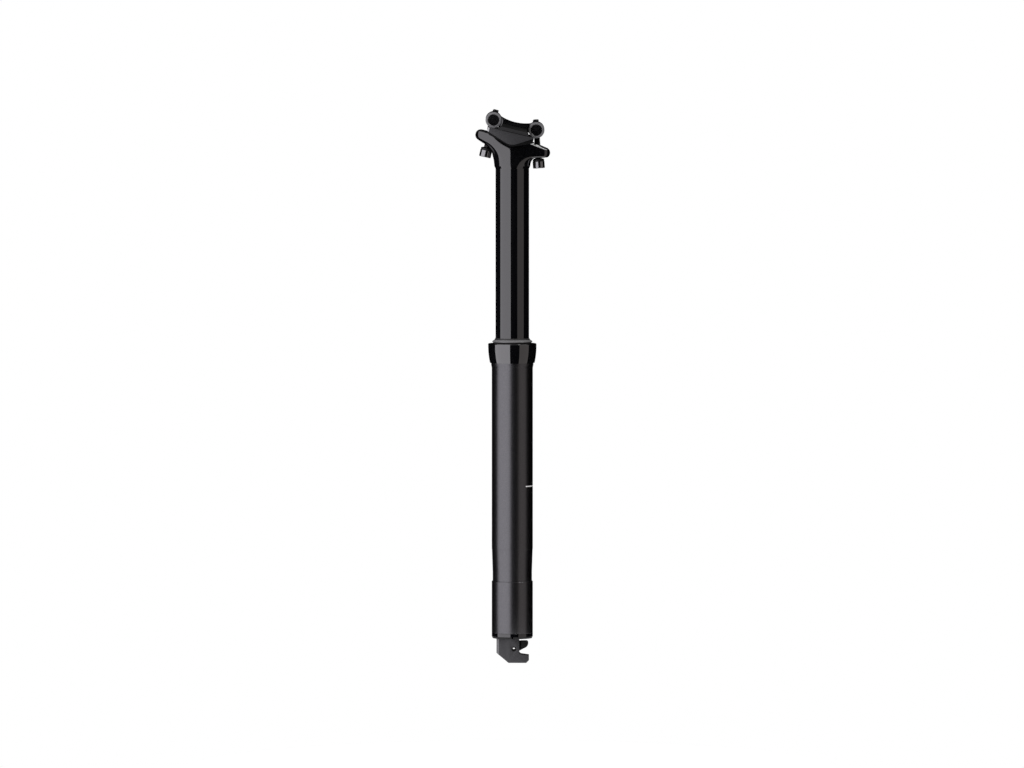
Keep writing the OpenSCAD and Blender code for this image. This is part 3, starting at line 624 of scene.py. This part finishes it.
def collar_cap():
    """Gloss collar with bulged sides and a bevelled rim."""
    h, d = COLLAR_SIDE_TOP - FLANGE_TOP, COLLAR_R - COLLAR_FOOT_R
    bulge = (h * h + d * d) / (2 * d)
    side = [(COLLAR_R - bulge + math.sqrt(bulge ** 2 - (h * (1 - i / COLLAR_SIDE_STEPS)) ** 2),
             FLANGE_TOP + h * i / COLLAR_SIDE_STEPS) for i in range(1, COLLAR_SIDE_STEPS + 1)]
    seat_r, seat_z, seat_top = WIPER_SEAT_R + FIT, WIPER_SEAT_Z - FIT, WIPER_SEAT_TOP + FIT
    piece = turned("collar_cap", [
        (THREAD_R + FIT, FLANGE_TOP), (COLLAR_FOOT_R, FLANGE_TOP), *side,
        (COLLAR_R, COLLAR_TOP - COLLAR_RIM), (COLLAR_R - 0.12, COLLAR_TOP - 0.15),
        (COLLAR_R - COLLAR_RIM, COLLAR_TOP), (COLLAR_MOUTH_R, COLLAR_TOP), (COLLAR_MOUTH_R, seat_top),
        (seat_r, seat_top), (seat_r, seat_z), (COLLAR_BORE_R, seat_z), (COLLAR_BORE_R, COLLAR_SHELF),
        (THREAD_R + FIT, COLLAR_SHELF)])
    dress(piece, gloss_collar, "lower", "collar", slot="gloss_forging", angle=20)


def wiper_lip():
    """Grey rubber wiper: a rounded bulge, a lip against the post, painted shade above and below the bulge."""
    bulge = arc(15.0, 20.15, 0.45, -49, 56, 6)
    lip_r = POST_R + FIT
    piece = turned("wiper_lip", [
        (13.19, WIPER_SEAT_Z), (WIPER_SEAT_R, WIPER_SEAT_Z), (WIPER_SEAT_R, WIPER_SEAT_TOP),
        (COLLAR_MOUTH_R - FIT, WIPER_SEAT_TOP), (14.31, 18.9), *bulge, (13.75, 21.6), (13.35, 22.2),
        (13.2, WIPER_LIP_TOP), (lip_r, WIPER_LIP_TOP), (lip_r, 20.6), (13.31, 19.8)])
    dress(piece, wiper_rubber, "lower", "wiper_seal", slot="wiper_rubber", angle=50)
    # Painted shade: the wiper is painted darker above and below its bulge, near the post and under the bulge
    second_finish(piece, seal_rubber, lambda spot, out: spot.z > WIPER_SHADE_OVER_Z or spot.z < WIPER_SHADE_UNDER_Z)


def foot_housing():
    """Short housing screwed on under the neck."""
    piece = turned("foot_housing", [
        (BORE_R, HOUSING_Z), (TUBE_R - 0.1, HOUSING_Z), (TUBE_R, HOUSING_Z + 0.1),
        (TUBE_R, HOUSING_TOP - 0.3), (TUBE_R - 0.3, HOUSING_TOP), (THREAD_R + FIT, HOUSING_TOP),
        (THREAD_R + FIT, TUBE_END - FIT), (BORE_R, TUBE_END - FIT)])
    break_edges(piece, 0.12)
    dress(piece, satin_black, "lower", "end_housing", slot="satin_tube")


def foot_plug():
    """Gloss ring under the housing, with four notches for a pin spanner."""
    hole, wall, boss, boss_top = SHAFT_R + FIT, BORE_R - FIT, BOSS_R + FIT, PLUG_Z + BOSS_H + FIT
    piece = turned("foot_plug", [
        (hole, PLUG_TOP), (wall, PLUG_TOP), (wall, HOUSING_Z), (TUBE_R - 0.1, HOUSING_Z),
        (TUBE_R, HOUSING_Z - 0.1), (TUBE_R, PLUG_RING_Z), (TUBE_R - PLUG_EDGE, PLUG_Z), (boss, PLUG_Z),
        (boss, boss_top), (ROD_HOLE_R, boss_top), (ROD_HOLE_R, SHAFT_SEAT), (hole, SHAFT_SEAT)])
    for bearing in range(0, 360, 90):
        deselect()
        bpy.ops.mesh.primitive_cube_add(size=1, scale=[side * MM for side in NOTCH])
        notch = bpy.context.active_object
        bpy.ops.object.transform_apply(location=True, rotation=True, scale=True)
        a = math.radians(bearing)
        put(notch, TUBE_R * math.cos(a), TUBE_R * math.sin(a), PLUG_Z, (0, 0, a))
        cut_out(piece, notch)
    dress(piece, gloss_post, "lower", "end_plug", slot="gloss_post", angle=20)
    second_finish(piece, blasted_lip, lambda spot, out: spot.z < PLUG_RING_Z + 0.3 and out.z < -0.2)


def stanchion():
    """Sliding post, ground and gloss black."""
    piece = turned("stanchion", [
        (POST_BORE_R, POST_Z), (POST_FOOT_R, POST_Z), (POST_FOOT_R, POST_STEP), (POST_R, POST_STEP),
        (POST_R, POST_TOP), (POST_BORE_R, POST_TOP)])
    cut_out(piece, keyways(FIT, KEY_Z - FIT, KEY_Z + KEY_LEN + FIT))
    dress(piece, gloss_post, "post", "inner_post", slot="gloss_post")


def melted(piece, grain, rounds):
    """Melts a piece's edges round, as a forging's are."""
    pick(piece)
    melt = piece.modifiers.new("melt", "REMESH")
    melt.mode = "VOXEL"
    melt.voxel_size = grain * MM
    ease = piece.modifiers.new("ease", "SMOOTH")
    ease.factor = 0.5
    ease.iterations = rounds
    apply_all(piece)


def edge_bar(p, q, bevel):
    """Square bar along an edge, to cut a bevel off it."""
    way = Vector(q) - Vector(p)
    half = bevel / math.sqrt(2)
    bar = block("edge_bar", 0, 2 * way.length, -half, half, -half, half)
    put(bar, *p, (math.radians(45), -math.asin(way.z / way.length), math.atan2(way.y, way.x)))
    return bar


def bolt_way(u, lean, seat):
    """Slot that a bolt passes and swings in, with the round seat of its washer."""
    r, room, low = BOLT_R + 0.4, 1.1, -seat - 6
    way = block("bolt_way", -room, room, -r, r, low, 0)
    for x in (-room, room):
        cut_out(way, rod("z", r, x, 0, low, 0), "UNION")
    cut_out(way, rod("z", WASHER_R + 1.1, 0, 0, -seat - 14, -seat, EYE_STEPS), "UNION")
    x, z = clamp_spot(u)
    put(way, x, 0, z, (0, TILT - lean, 0))
    return way


def rear_underside():
    """Edge under the rear wing, from the neck out to where it runs straight to the tip."""
    slope = math.radians(REAR_SLOPE)
    low_x = REAR_TIP[0] - REAR_TIP_R * math.cos(slope)
    low_z = REAR_TIP[1] - REAR_TIP_R * math.sin(slope)
    x = -HEAD_R - 0.2 - REAR_FILLET
    z = low_z - (x + REAR_FILLET * math.cos(slope) - low_x) / math.tan(slope) - REAR_FILLET * math.sin(slope)
    return arc(x, z, REAR_FILLET, 0, REAR_SLOPE, FLARE_STEPS)


def wing_half(x):
    """Half the wings' width at a distance in front of or behind the post's axis."""
    turn = math.radians(WING_TURN)
    return HEAD_R / math.cos(turn) - abs(x) * math.tan(turn)


def head_side(under):
    """The head as it looks from the side, before it is shaped from above."""
    front_x, top = HEAD_R + FRONT_FILLET + 1, 90 - math.degrees(TILT)
    return drawn("forged_head", "y", [
        (under[0][0], HEAD_LOW), (front_x, HEAD_LOW), (front_x, UNDER_Z - 0.2),
        *arc(*FRONT_TIP, FRONT_TIP_R, -90, top), clamp_spot(WING_U, WING_N), clamp_spot(-WING_U, WING_N),
        *arc(*REAR_TIP, REAR_TIP_R, top, 180 + REAR_SLOPE), *reversed(under)], -2 * HEAD_R, 2 * HEAD_R)


def head_plan():
    """The head as it looks from above: round in the middle, with tapered wings and round tips."""
    rear_w, front_w = wing_half(REAR_REACH), wing_half(FRONT_REACH)
    plan = drawn("head_plan", "z", [
        (-REAR_REACH, -rear_w), *arc(0, 0, HEAD_R, 270 - WING_TURN, 270 + WING_TURN),
        (FRONT_REACH, -front_w), (FRONT_REACH, front_w),
        *arc(0, 0, HEAD_R, 90 - WING_TURN, 90 + WING_TURN), (-REAR_REACH, rear_w)], HEAD_LOW - 1, HEAD_HIGH)
    tips = rod("z", TIP_ROUND, TIP_ROUND - REAR_REACH, 0, HEAD_LOW - 3, HEAD_HIGH + 2, TURN_STEPS)
    front = rod("z", TIP_ROUND, FRONT_REACH - TIP_ROUND, 0, HEAD_LOW - 2, HEAD_HIGH + 1, TURN_STEPS)
    cut_out(tips, front, "UNION")
    cut_out(plan, tips, "INTERSECT")
    return plan


def rear_flare(under):
    """Round bell under the rear wing, as a trumpet's, which gets narrower across the bicycle as it rises."""
    slope, (x, z) = math.radians(REAR_SLOPE), under[-1]
    reach, rise = HEAD_FAR * math.sin(slope) - x, HEAD_FAR * math.cos(slope) + z
    bell = [(-x, z) for x, z in under]
    flare = turned("flare", [(-under[0][0], HEAD_LOW - 2), *bell, (reach, rise)], hollow=False)
    for i, level in enumerate([z for x, z in under] + [rise]):
        choose(flare, "VERT", lambda spot: abs(spot.z - level) < NEAR)
        narrow = 1 - FLARE_SQUEEZE * min(i / FLARE_STEPS, 1) ** 2
        bpy.ops.transform.resize(value=(1, narrow, 1), center_override=(0, 0, level * MM))
        bpy.ops.object.mode_set(mode="OBJECT")
    return flare


def bevel_wings(head):
    """Bevels the upper edges of both wings."""
    for way, tip, tip_r in ((1, FRONT_TIP, FRONT_TIP_R), (-1, REAR_TIP, REAR_TIP_R)):
        x0, z0 = clamp_spot(way * WING_EDGE_U, WING_N)
        x1, z1 = tip[0] + tip_r * math.sin(TILT), tip[1] + tip_r * math.cos(TILT)
        for side in (-1, 1):
            start, end = (x0, side * wing_half(x0), z0), (x1, side * wing_half(x1), z1)
            cut_out(head, edge_bar(start, end, WING_BEVEL))


def ease_creases(head):
    """Blends the wings into the neck: all but the front wing's top, then its underside once more."""
    def outside(spot):
        return (spot.z > HEAD_Z + 3 and abs(spot.y) > 5.5
                and math.hypot(spot.x, spot.y) > HEAD_R - 0.6)
    for where in (lambda spot: spot.x < 10 or spot.z < SOCKET_TOP,
                  lambda spot: spot.x > 1 and spot.z < SOCKET_TOP):
        choose(head, "VERT", lambda spot: where(spot) and outside(spot))
        bpy.ops.mesh.vertices_smooth(factor=0.5, repeat=CREASE_ROUNDS)
        bpy.ops.object.mode_set(mode="OBJECT")


def forged_head():
    """Forged head: flared neck, a rear and a front wing, the cradle's trough and the bolts' ways."""
    under = rear_underside()
    head = head_side(under)
    cut_out(head, head_plan(), "INTERSECT")
    fillet = arc(HEAD_R + FRONT_FILLET, UNDER_Z - FRONT_FILLET, FRONT_FILLET, 180, 90)
    neck = turned("neck", [(HEAD_R, HEAD_LOW), *fillet, (HEAD_FAR, UNDER_Z), (HEAD_FAR, HEAD_HIGH + 2)],
                  hollow=False)
    cut_out(head, neck, "INTERSECT")
    outside = block("outside", -HEAD_FAR, 0, -HEAD_FAR, HEAD_FAR, HEAD_LOW - 1, HEAD_HIGH)
    cut_out(outside, rear_flare(under))
    cut_out(head, outside)
    cut_out(head, rod("z", POST_R + FIT, 0, 0, HEAD_LOW - 1, SOCKET_TOP, TURN_STEPS))
    x, z = clamp_spot(0, ROCK_H)
    trough, edge = ROCK_R + TROUGH_GAP, HEAD_R - TROUGH_EDGE
    rocker = turned("rocker", [(trough + HEAD_FAR, -edge - HEAD_FAR), (trough, -edge), (trough, edge),
                               (trough + HEAD_FAR, edge + HEAD_FAR)], hollow=False, steps=2 * TURN_STEPS)
    put(rocker, x, 0, z, ALONG_Y)
    cut_out(head, rocker)
    bevel_wings(head)
    cut_out(head, bolt_way(-EYE_U, REAR_LEAN, REAR_SEAT))
    cut_out(head, bolt_way(EYE_U, FRONT_LEAN, FRONT_SEAT))
    melted(head, FORGING_GRAIN, FORGING_ROUNDS)
    ease_creases(head)
    base_edge = turned("base_edge", [(POST_R + 0.2, HEAD_Z), (HEAD_R, HEAD_Z + 1.8), (HEAD_FAR, HEAD_Z + 2.5),
                                     (HEAD_FAR, HEAD_HIGH + 2)], hollow=False)
    cut_out(head, base_edge, "INTERSECT")
    dress(head, gloss_forging, "post", "saddle_head", slot="gloss_forging", angle=60)


def cradle_side(rear, rear_low, apex, r, front_low):
    """Side of the cradle in the clamp's frame: a rounded V under a straight lip."""
    left = math.atan((rear_low - apex) / (APEX_U - rear))
    right = math.atan((front_low - apex) / (CRADLE_FRONT - APEX_U))
    up, far = math.radians(90) + (right - left) / 2, r / math.cos((left + right) / 2)
    point = arc(APEX_U + far * math.cos(up), apex + far * math.sin(up), r,
                270 - math.degrees(left), 270 + math.degrees(right))
    return [(CRADLE_FRONT, CRADLE_LIP), (rear, CRADLE_LIP), (rear, rear_low), *point,
            (CRADLE_FRONT, front_low)]


def cradle_plate():
    """Lower half of the saddle clamp: rail grooves, V-shaped skirts and the round rocker between them."""
    half = math.degrees(math.asin(ROCK_U / ROCK_R))
    cradle = drawn("cradle_plate", "y", [
        (-ROCK_U, CRADLE_LIP), *arc(0, ROCK_H, ROCK_R, 270 - half, 270 + half, 24), (ROCK_U, CRADLE_LIP)],
        -CRADLE_IN - FIT, CRADLE_IN + FIT)
    skirt_in = CRADLE_OUT - SKIRT_T
    for side in (-1, 1):
        body = drawn("cradle_body", "y", cradle_side(*CRADLE_V), side * CRADLE_IN, side * skirt_in)
        skirt = drawn("cradle_skirt", "y", cradle_side(*SKIRT_V), side * CRADLE_IN, side * CRADLE_OUT)
        cut_out(body, skirt, "UNION")
        cut_out(cradle, body, "UNION")
        cut_out(cradle, rod("x", RAIL_R, side * RAIL_Y, -RAIL_DROP, -CLAMP_THROUGH, CLAMP_THROUGH))
    cut_out(cradle, block("pocket", -POCKET_U, POCKET_U, -POCKET_Y, POCKET_Y, CRADLE_LIP - POCKET_DEEP, 5))

    def on_outer_face(a, b):
        return min(abs(a.y), abs(b.y)) > CRADLE_OUT - NEAR

    # Painted highlight: the rear corner's bevel is painted light grey
    def painted_highlight_rear_corner(spot, out):
        return (abs(spot.y) > skirt_in and spot.x < SKIRT_REAR + SKIRT_T
                and abs(out.y) > 0.3 and out.x < -0.3)

    # Painted shade: the body inside and under the skirts is painted near black, as the shade under the skirts
    def painted_shade_behind_skirts(spot, out):
        return (abs(spot.y) < skirt_in + FIT and spot.z < CRADLE_LIP - 0.5
                and math.hypot(abs(spot.y) - RAIL_Y, spot.z + RAIL_DROP) > RAIL_R + 0.1)

    round_off(cradle, 1.3, 1, lambda a, b: on_outer_face(a, b) and max(a.x, b.x) < SKIRT_REAR + NEAR)
    round_off(cradle, 0.9, 3, lambda a, b: on_outer_face(a, b) and min(a.x, b.x) > CRADLE_FRONT - NEAR)
    break_edges(cradle, 0.3, 3)
    dress(cradle, blasted_cradle, "saddle_clamp", "rail_cradle", slot="cradle_alloy")
    # Painted highlight on the rear corner's bevel
    second_finish(cradle, painted_highlight_edge, painted_highlight_rear_corner)
    # Painted shade: the cradle's body behind the skirts is painted near black
    second_finish(cradle, matt_black_and_painted_shade, painted_shade_behind_skirts)
    at_clamp(cradle)


def clamp_yoke():
    """Upper half of the saddle clamp: dished bridge, arms over the rails and the barrel nuts' eyes."""
    low = math.degrees(math.asin((UPPER_LIP + RAIL_DROP) / UPPER_R))
    arm_in, arm_top = EYE_HALF - 1, UPPER_R - RAIL_DROP
    half = EYE_HALF - YOKE_SHOULDER
    yoke = block("clamp_yoke", -EYE_U, EYE_U, -half, half, UPPER_LOW, UPPER_LOW + YOKE_H)
    for side in (-1, 1):
        arm = drawn("yoke_arm", "x", [(side * y, n) for y, n in [
            (arm_in, UPPER_LOW), (RAIL_Y - RAIL_R - 1.5, UPPER_LIP),
            *arc(RAIL_Y, -RAIL_DROP, UPPER_R, low, 90, 12), (arm_in, arm_top + 4)]], -EYE_U, EYE_U)
        for u in (-EYE_U, EYE_U):
            cut_out(arm, rod("y", EYE_R + 1, u, 0, -CLAMP_THROUGH, CLAMP_THROUGH, EYE_STEPS))
        cut_out(yoke, arm, "UNION")
    cut_out(yoke, rod("y", DISH_R, 0, DISH_R + DISH_TOP, -CLAMP_THROUGH, CLAMP_THROUGH, 4 * TURN_STEPS))
    for side in (-1, 1):
        cut_out(yoke, rod("x", RAIL_R, side * RAIL_Y, -RAIL_DROP, -CLAMP_THROUGH, CLAMP_THROUGH))
    bore, rim = BARREL_R + FIT, 0.3
    eye_end = [(EYE_R - rim, EYE_HALF), (EYE_R - 0.09, EYE_HALF - 0.09), (EYE_R, EYE_HALF - rim)]
    drill_end = [(bore + 1, EYE_HALF + 0.8), (bore, EYE_HALF - 0.2)]
    for u, lean in ((-EYE_U, REAR_LEAN), (EYE_U, FRONT_LEAN)):
        eye = turned("eye", both_ends(eye_end), hollow=False, steps=EYE_STEPS)
        put(eye, u, 0, 0, ALONG_Y)
        cut_out(yoke, eye, "UNION")
        drill = turned("drill", both_ends(drill_end), hollow=False, steps=EYE_STEPS)
        put(drill, u, 0, 0, ALONG_Y)
        cut_out(yoke, drill)
        slot = block("eye_slot", -4, 4, -EYE_SLOT_HALF, EYE_SLOT_HALF, -9, 9)
        put(slot, u, 0, 0, (0, -lean, 0))
        cut_out(yoke, slot)
    break_edges(yoke, 0.2, 2, 40)

    def on_arm_lip(spot, out):
        return abs(spot.y) > RAIL_Y and spot.z < ARM_SHADE

    def on_arm_end(spot, out):
        return abs(spot.y) > RAIL_Y - 4 and spot.z >= ARM_SHADE and abs(out.y) > 0.1

    # Painted highlight: the eyes' end rims are painted light grey
    def painted_highlight_eye_rim(spot, out):
        return (EYE_HALF - 0.5 < abs(spot.y) < EYE_HALF + NEAR and abs(out.y) > 0.8
                and math.hypot(abs(spot.x) - EYE_U, spot.z) < EYE_R)

    dress(yoke, yoke_black, "saddle_clamp", "upper_clamp", slot="gloss_forging")
    second_finish(yoke, blasted_lip, on_arm_lip)
    second_finish(yoke, matt_black_and_painted_shade, on_arm_end)
    second_finish(yoke, painted_highlight_rim, painted_highlight_eye_rim)
    at_clamp(yoke)


def threads(r_out, pitch, z0, z1):
    """Screw thread as one helix, with its ends closed."""
    deep = 0.54 * pitch
    piece = first_point("threads", ((r_out - deep) * MM, 0, z0 * MM))
    for dr, dz in ((deep, 0.44), (0, 0.12), (-deep, 0.44)):
        bpy.ops.mesh.extrude_vertices_move(TRANSFORM_OT_translate={"value": (dr * MM, 0, dz * pitch * MM)})
    bpy.ops.object.mode_set(mode="OBJECT")
    helix = piece.modifiers.new("helix", "SCREW")
    helix.screw_offset = pitch * MM
    helix.iterations = int((z1 - z0) / pitch)
    helix.steps = helix.render_steps = 20
    apply_all(piece)
    bpy.ops.object.mode_set(mode="EDIT")
    bpy.ops.mesh.select_all(action="SELECT")
    bpy.ops.mesh.remove_doubles(threshold=1e-6)
    bpy.ops.mesh.fill_holes(sides=0)
    close_up()
    return piece


def clamp_bolt(name, u, lean, seat, body, bolt_node, washer_node):
    """Socket head bolt with its thread, and the domed washer under its head."""
    top = -seat - SEAT_GAP
    under = top - WASHER_H
    low = under - BOLT_HEAD_H
    head = turned(name, [
        (SOCKET_RING_R, low), (BOLT_HEAD_R - 0.3, low), (BOLT_HEAD_R, low + 0.3), (BOLT_HEAD_R, under - 0.25),
        (BOLT_HEAD_R - 0.25, under), (BOLT_R, under), (BOLT_R, BOLT_THREAD_Z),
        (BOLT_ROOT_R, BOLT_THREAD_Z + 0.4), (BOLT_ROOT_R, BOLT_TIP - 0.5), (BOLT_TIP_R, BOLT_TIP)],
        hollow=False, steps=SMALL_STEPS)
    key = turned("hex_key", [(HEX_R + 0.3, low - 1), (HEX_R + 0.3, low + 0.15), (HEX_R, low + 0.45),
                             (HEX_R, low + 3)], hollow=False, steps=6)
    cut_out(head, key)
    bolt = join(head, threads(BOLT_R, BOLT_PITCH, BOLT_THREAD_Z, BOLT_TIP - 0.4))
    ball = (WASHER_R ** 2 + WASHER_DOME ** 2) / (2 * WASHER_DOME)
    dome = [(r, top - ball + math.sqrt(ball ** 2 - r * r)) for r in (WASHER_R, 4.0, 3.5, 3.0, WASHER_HOLE_R)]
    washer = turned(washer_node + "_dome", [
        (WASHER_HOLE_R, under), (WASHER_R - 0.2, under), (WASHER_R, under + 0.2), *dome], steps=SMALL_STEPS)
    dress(bolt, black_steel, body, bolt_node, slot="black_steel")
    # Painted shade: the shank, thread and tip above the head get a dark matt finish, so their lit tops show
    # black
    second_finish(bolt, lever_black_and_painted_shade, lambda spot, out: spot.z > under + 0.1)
    dress(washer, lever_black_and_painted_shade, body, washer_node, slot="black_steel")
    x, z = clamp_spot(u)
    for piece in (bolt, washer):
        put(piece, x, 0, z, (0, TILT - lean, 0))


def barrel_nut(name, u, lean, body, node_name):
    """Cross dowel with bevelled rims."""
    edge, hole = 0.25, BOLT_R + NUT_GAP
    end = [(BARREL_R - edge, BARREL_HALF), (BARREL_R, BARREL_HALF - edge)]
    nut = turned(name, both_ends(end), hollow=False, steps=EYE_STEPS)
    put(nut, turn=ALONG_Y)
    cut_out(nut, turned("bore", [(hole, -6), (hole, 6)], hollow=False, steps=SMALL_STEPS))
    x, z = clamp_spot(u)
    put(nut, x, 0, z, (0, TILT - lean, 0))
    dress(nut, yoke_black, body, node_name, slot="black_steel")


def pivot_sleeve():
    """Hollow pin of the cable lever."""
    half, edge = BRACKET_HALF, 0.2
    pin = turned("pivot_sleeve", [
        (PIN_BORE_R, -half + edge), (PIN_BORE_R + edge, -half), (PIN_R - edge, -half), (PIN_R, -half + edge),
        (PIN_R, half - edge), (PIN_R - edge, half), (PIN_BORE_R + edge, half), (PIN_BORE_R, half - edge)],
        steps=SMALL_STEPS)
    put(pin, PIVOT[0], 0, PIVOT[1], ALONG_Y)
    dress(pin, lever_black_and_painted_shade, "lower", "pivot_pin", slot="black_steel")


def cable_bracket():
    """Bracket at the foot: slot of the hook, jaw, and the stop and slit for the cable."""
    throat = arc(CHEEK_X + THROAT_R, JAW_Z + THROAT_RISE + THROAT_R, THROAT_R, 262, 180, 8)
    bracket = drawn("cable_bracket", "y", [
        (BRACKET_REAR, PLUG_Z), (BRACKET_REAR, PIVOT[1] - HEEL_DROP), (KEEL_X, BRACKET_Z),
        (BRACKET_FRONT - TOE, BRACKET_Z), (BRACKET_FRONT, BRACKET_Z + TOE), (BRACKET_FRONT, JAW_Z), *throat,
        (CHEEK_X, PLUG_Z)], -BRACKET_HALF, BRACKET_HALF)
    round_off(bracket, 1.8, 1, lambda a, b: max(a.x, b.x) < BRACKET_REAR + NEAR and abs(a.z - b.z) > 1)
    round_off(bracket, 0.9, 1, lambda a, b: min(a.x, b.x) > BRACKET_FRONT - NEAR and abs(a.z - b.z) > 1)
    cut_out(bracket, rod("z", BOSS_R, 0, 0, PLUG_Z - 0.5, PLUG_Z + BOSS_H), "UNION")
    cut_out(bracket, block("hook_slot", SLOT_BACK, SLOT_FRONT, -SLOT_HALF, SLOT_HALF, PIVOT[1] - SLOT_DROP,
                           PLUG_Z))
    cut_out(bracket, rod("z", BUTTON_ROOM_R, 0, 0, PIVOT[1] + BUTTON_ROOM_RISE, PLUG_Z + 10))
    cut_out(bracket, rod("z", STOP_R, CABLE_X, 0, BRACKET_Z - 1, BRACKET_Z + STOP_DEEP))
    slit = CABLE_SLIT / 2
    cut_out(bracket, rod("z", slit, CABLE_X, 0, BRACKET_Z, BRACKET_Z + SLIT_H))
    cut_out(bracket, block("cable_slit", CABLE_X, 2 * CABLE_X, -slit, slit, BRACKET_Z - 1, BRACKET_Z + SLIT_H))
    cut_out(bracket, rod("y", PIN_R + FIT, *PIVOT, -FOOT_THROUGH, FOOT_THROUGH))
    break_edges(bracket, 0.25, 3)
    dress(bracket, blasted_bracket, "lower", "lever_bracket", slot="bracket_alloy")
    # Painted highlight: the bracket's rear chamfer is painted lighter
    second_finish(bracket, painted_highlight_chamfer, lambda spot, out: spot.x < BRACKET_REAR + 2 and abs(out.y) > 0.5
                  and out.x < -0.5)


def cable_hook():
    """Hook that the cable pulls: hub on the pin, nose under the button, claw round the cable's end."""
    nose_way = math.degrees(math.atan2(NOSE[1], NOSE[0]))
    hook = drawn("cable_hook", "y", [
        *arc(0, 0, HUB_R, 270, nose_way + 40, 8), *arc(*NOSE, NOSE_R, nose_way + 90, nose_way - 90, 10),
        *arc(0, 0, HUB_R, nose_way - 40, 90, 3), (3.3, 4.3), (4, HOOK_TOP), (HOOK_TOP, HOOK_TOP),
        (HOOK_TOP, HOOK_FOOT)], -HOOK_ROOT_HALF, HOOK_ROOT_HALF)
    claw = drawn("claw", "y", [
        (CLAW_ROOT, HOOK_FOOT), *arc(7.1, 4.5, 4, -62, 0), *arc(9.6, 4.5, 1.5, 0, 90)[1:],
        (CLAW_ROOT, HOOK_TOP)], -HOOK_HALF, HOOK_HALF)
    cut_out(hook, claw, "UNION")
    reach, slit = CABLE_X - PIVOT[0], CABLE_SLIT / 2
    cut_out(hook, rod("y", PIN_R + FIT, 0, 0, -FOOT_THROUGH, FOOT_THROUGH))
    cut_out(hook, rod("z", NIPPLE_R, reach, 0, NIPPLE_FLOOR, SLIT_H))
    cut_out(hook, rod("z", slit, reach, 0, -SLIT_H, SLIT_H))
    cut_out(hook, block("cable_slit", reach, 2 * reach, -slit, slit, -SLIT_H, SLIT_H))
    break_edges(hook, 0.3, 3)
    put(hook, PIVOT[0], 0, PIVOT[1])
    dress(hook, lever_black_and_painted_shade, "lever", "release_lever", slot="lever_alloy")


def insertion_mark():
    """White line round the front of the tube, as far as the post may be pulled out of the frame."""
    r, a = (TUBE_R + INK_GAP) * MM, math.radians(MARK_TURN)
    piece = first_point("insertion_mark", (r * math.cos(a), r * math.sin(a), MARK_Z * MM))
    bpy.ops.mesh.extrude_vertices_move(TRANSFORM_OT_translate={"value": (0, 0, MARK_H * MM)})
    bpy.ops.mesh.select_all(action="SELECT")
    bpy.ops.mesh.spin(steps=48, angle=math.radians(2 * MARK_TURN), center=(0, 0, 0), axis=(0, 0, 1))
    close_up()
    thick = piece.modifiers.new("ink", "SOLIDIFY")
    thick.thickness = INK * MM
    thick.offset = 1
    apply_all(piece)
    dress(piece, white_print, "lower", slot="satin_tube")


photo_camera()
plain_light()
softbox("left_softbox", -92, -9.5, LAMP_H, 1.65, (1, 0.975, 1.03))
softbox("right_softbox", 35, 85, LAMP_H, 0.42, (1, 0.92, 0.9))
square_softbox("high_softbox", (1.86, -0.37, 2.6), (0, 0, 0.17), 0.9, 8)
square_softbox("top_softbox", (0, -0.9, 1.7), (0, -0.9, 0), 5.0, 0.2)
softbox("low_back_softbox", 168, 192, LOW_LAMP_H, 1.6, (1, 1, 1), level=LOW_LAMP_Z)
black_tent()
pale_floor()

outer_tube()
collar_cap()
wiper_lip()
foot_housing()
foot_plug()
stanchion()
forged_head()
cradle_plate()
clamp_yoke()
clamp_bolt("rear_screw_bolt", -EYE_U, REAR_LEAN, REAR_SEAT, "rear_screw", "rear_bolt", "rear_washer")
clamp_bolt("front_screw_bolt", EYE_U, FRONT_LEAN, FRONT_SEAT, "front_screw", "front_bolt", "front_washer")
barrel_nut("rear_dowel", -EYE_U, REAR_LEAN, "rear_nut", "rear_barrel_nut")
barrel_nut("front_dowel", EYE_U, FRONT_LEAN, "front_nut", "front_barrel_nut")
pivot_sleeve()
cable_bracket()
cable_hook()
insertion_mark()

# Pieces inside the post keep their solids
inside = {
    bearing_plastic: ["upper_bushing", "foot_bushing"],
    bare_alloy: ["cartridge_body", "cartridge_seal_head", "cartridge_cap", "cartridge_piston",
                 "floating_piston", "foot_nut"],
    ground_steel: ["cartridge_shaft", "release_rod", "shaft_lock_nut"],
    seal_rubber: ["bottom_bumper", "piston_seal", "floating_seal", "shaft_seal"],
    key_brass: ["guide_keys"],
}
for material, names in inside.items():
    for name in names:
        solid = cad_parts[name]
        solid.data.materials.clear()
        solid.data.materials.append(material)
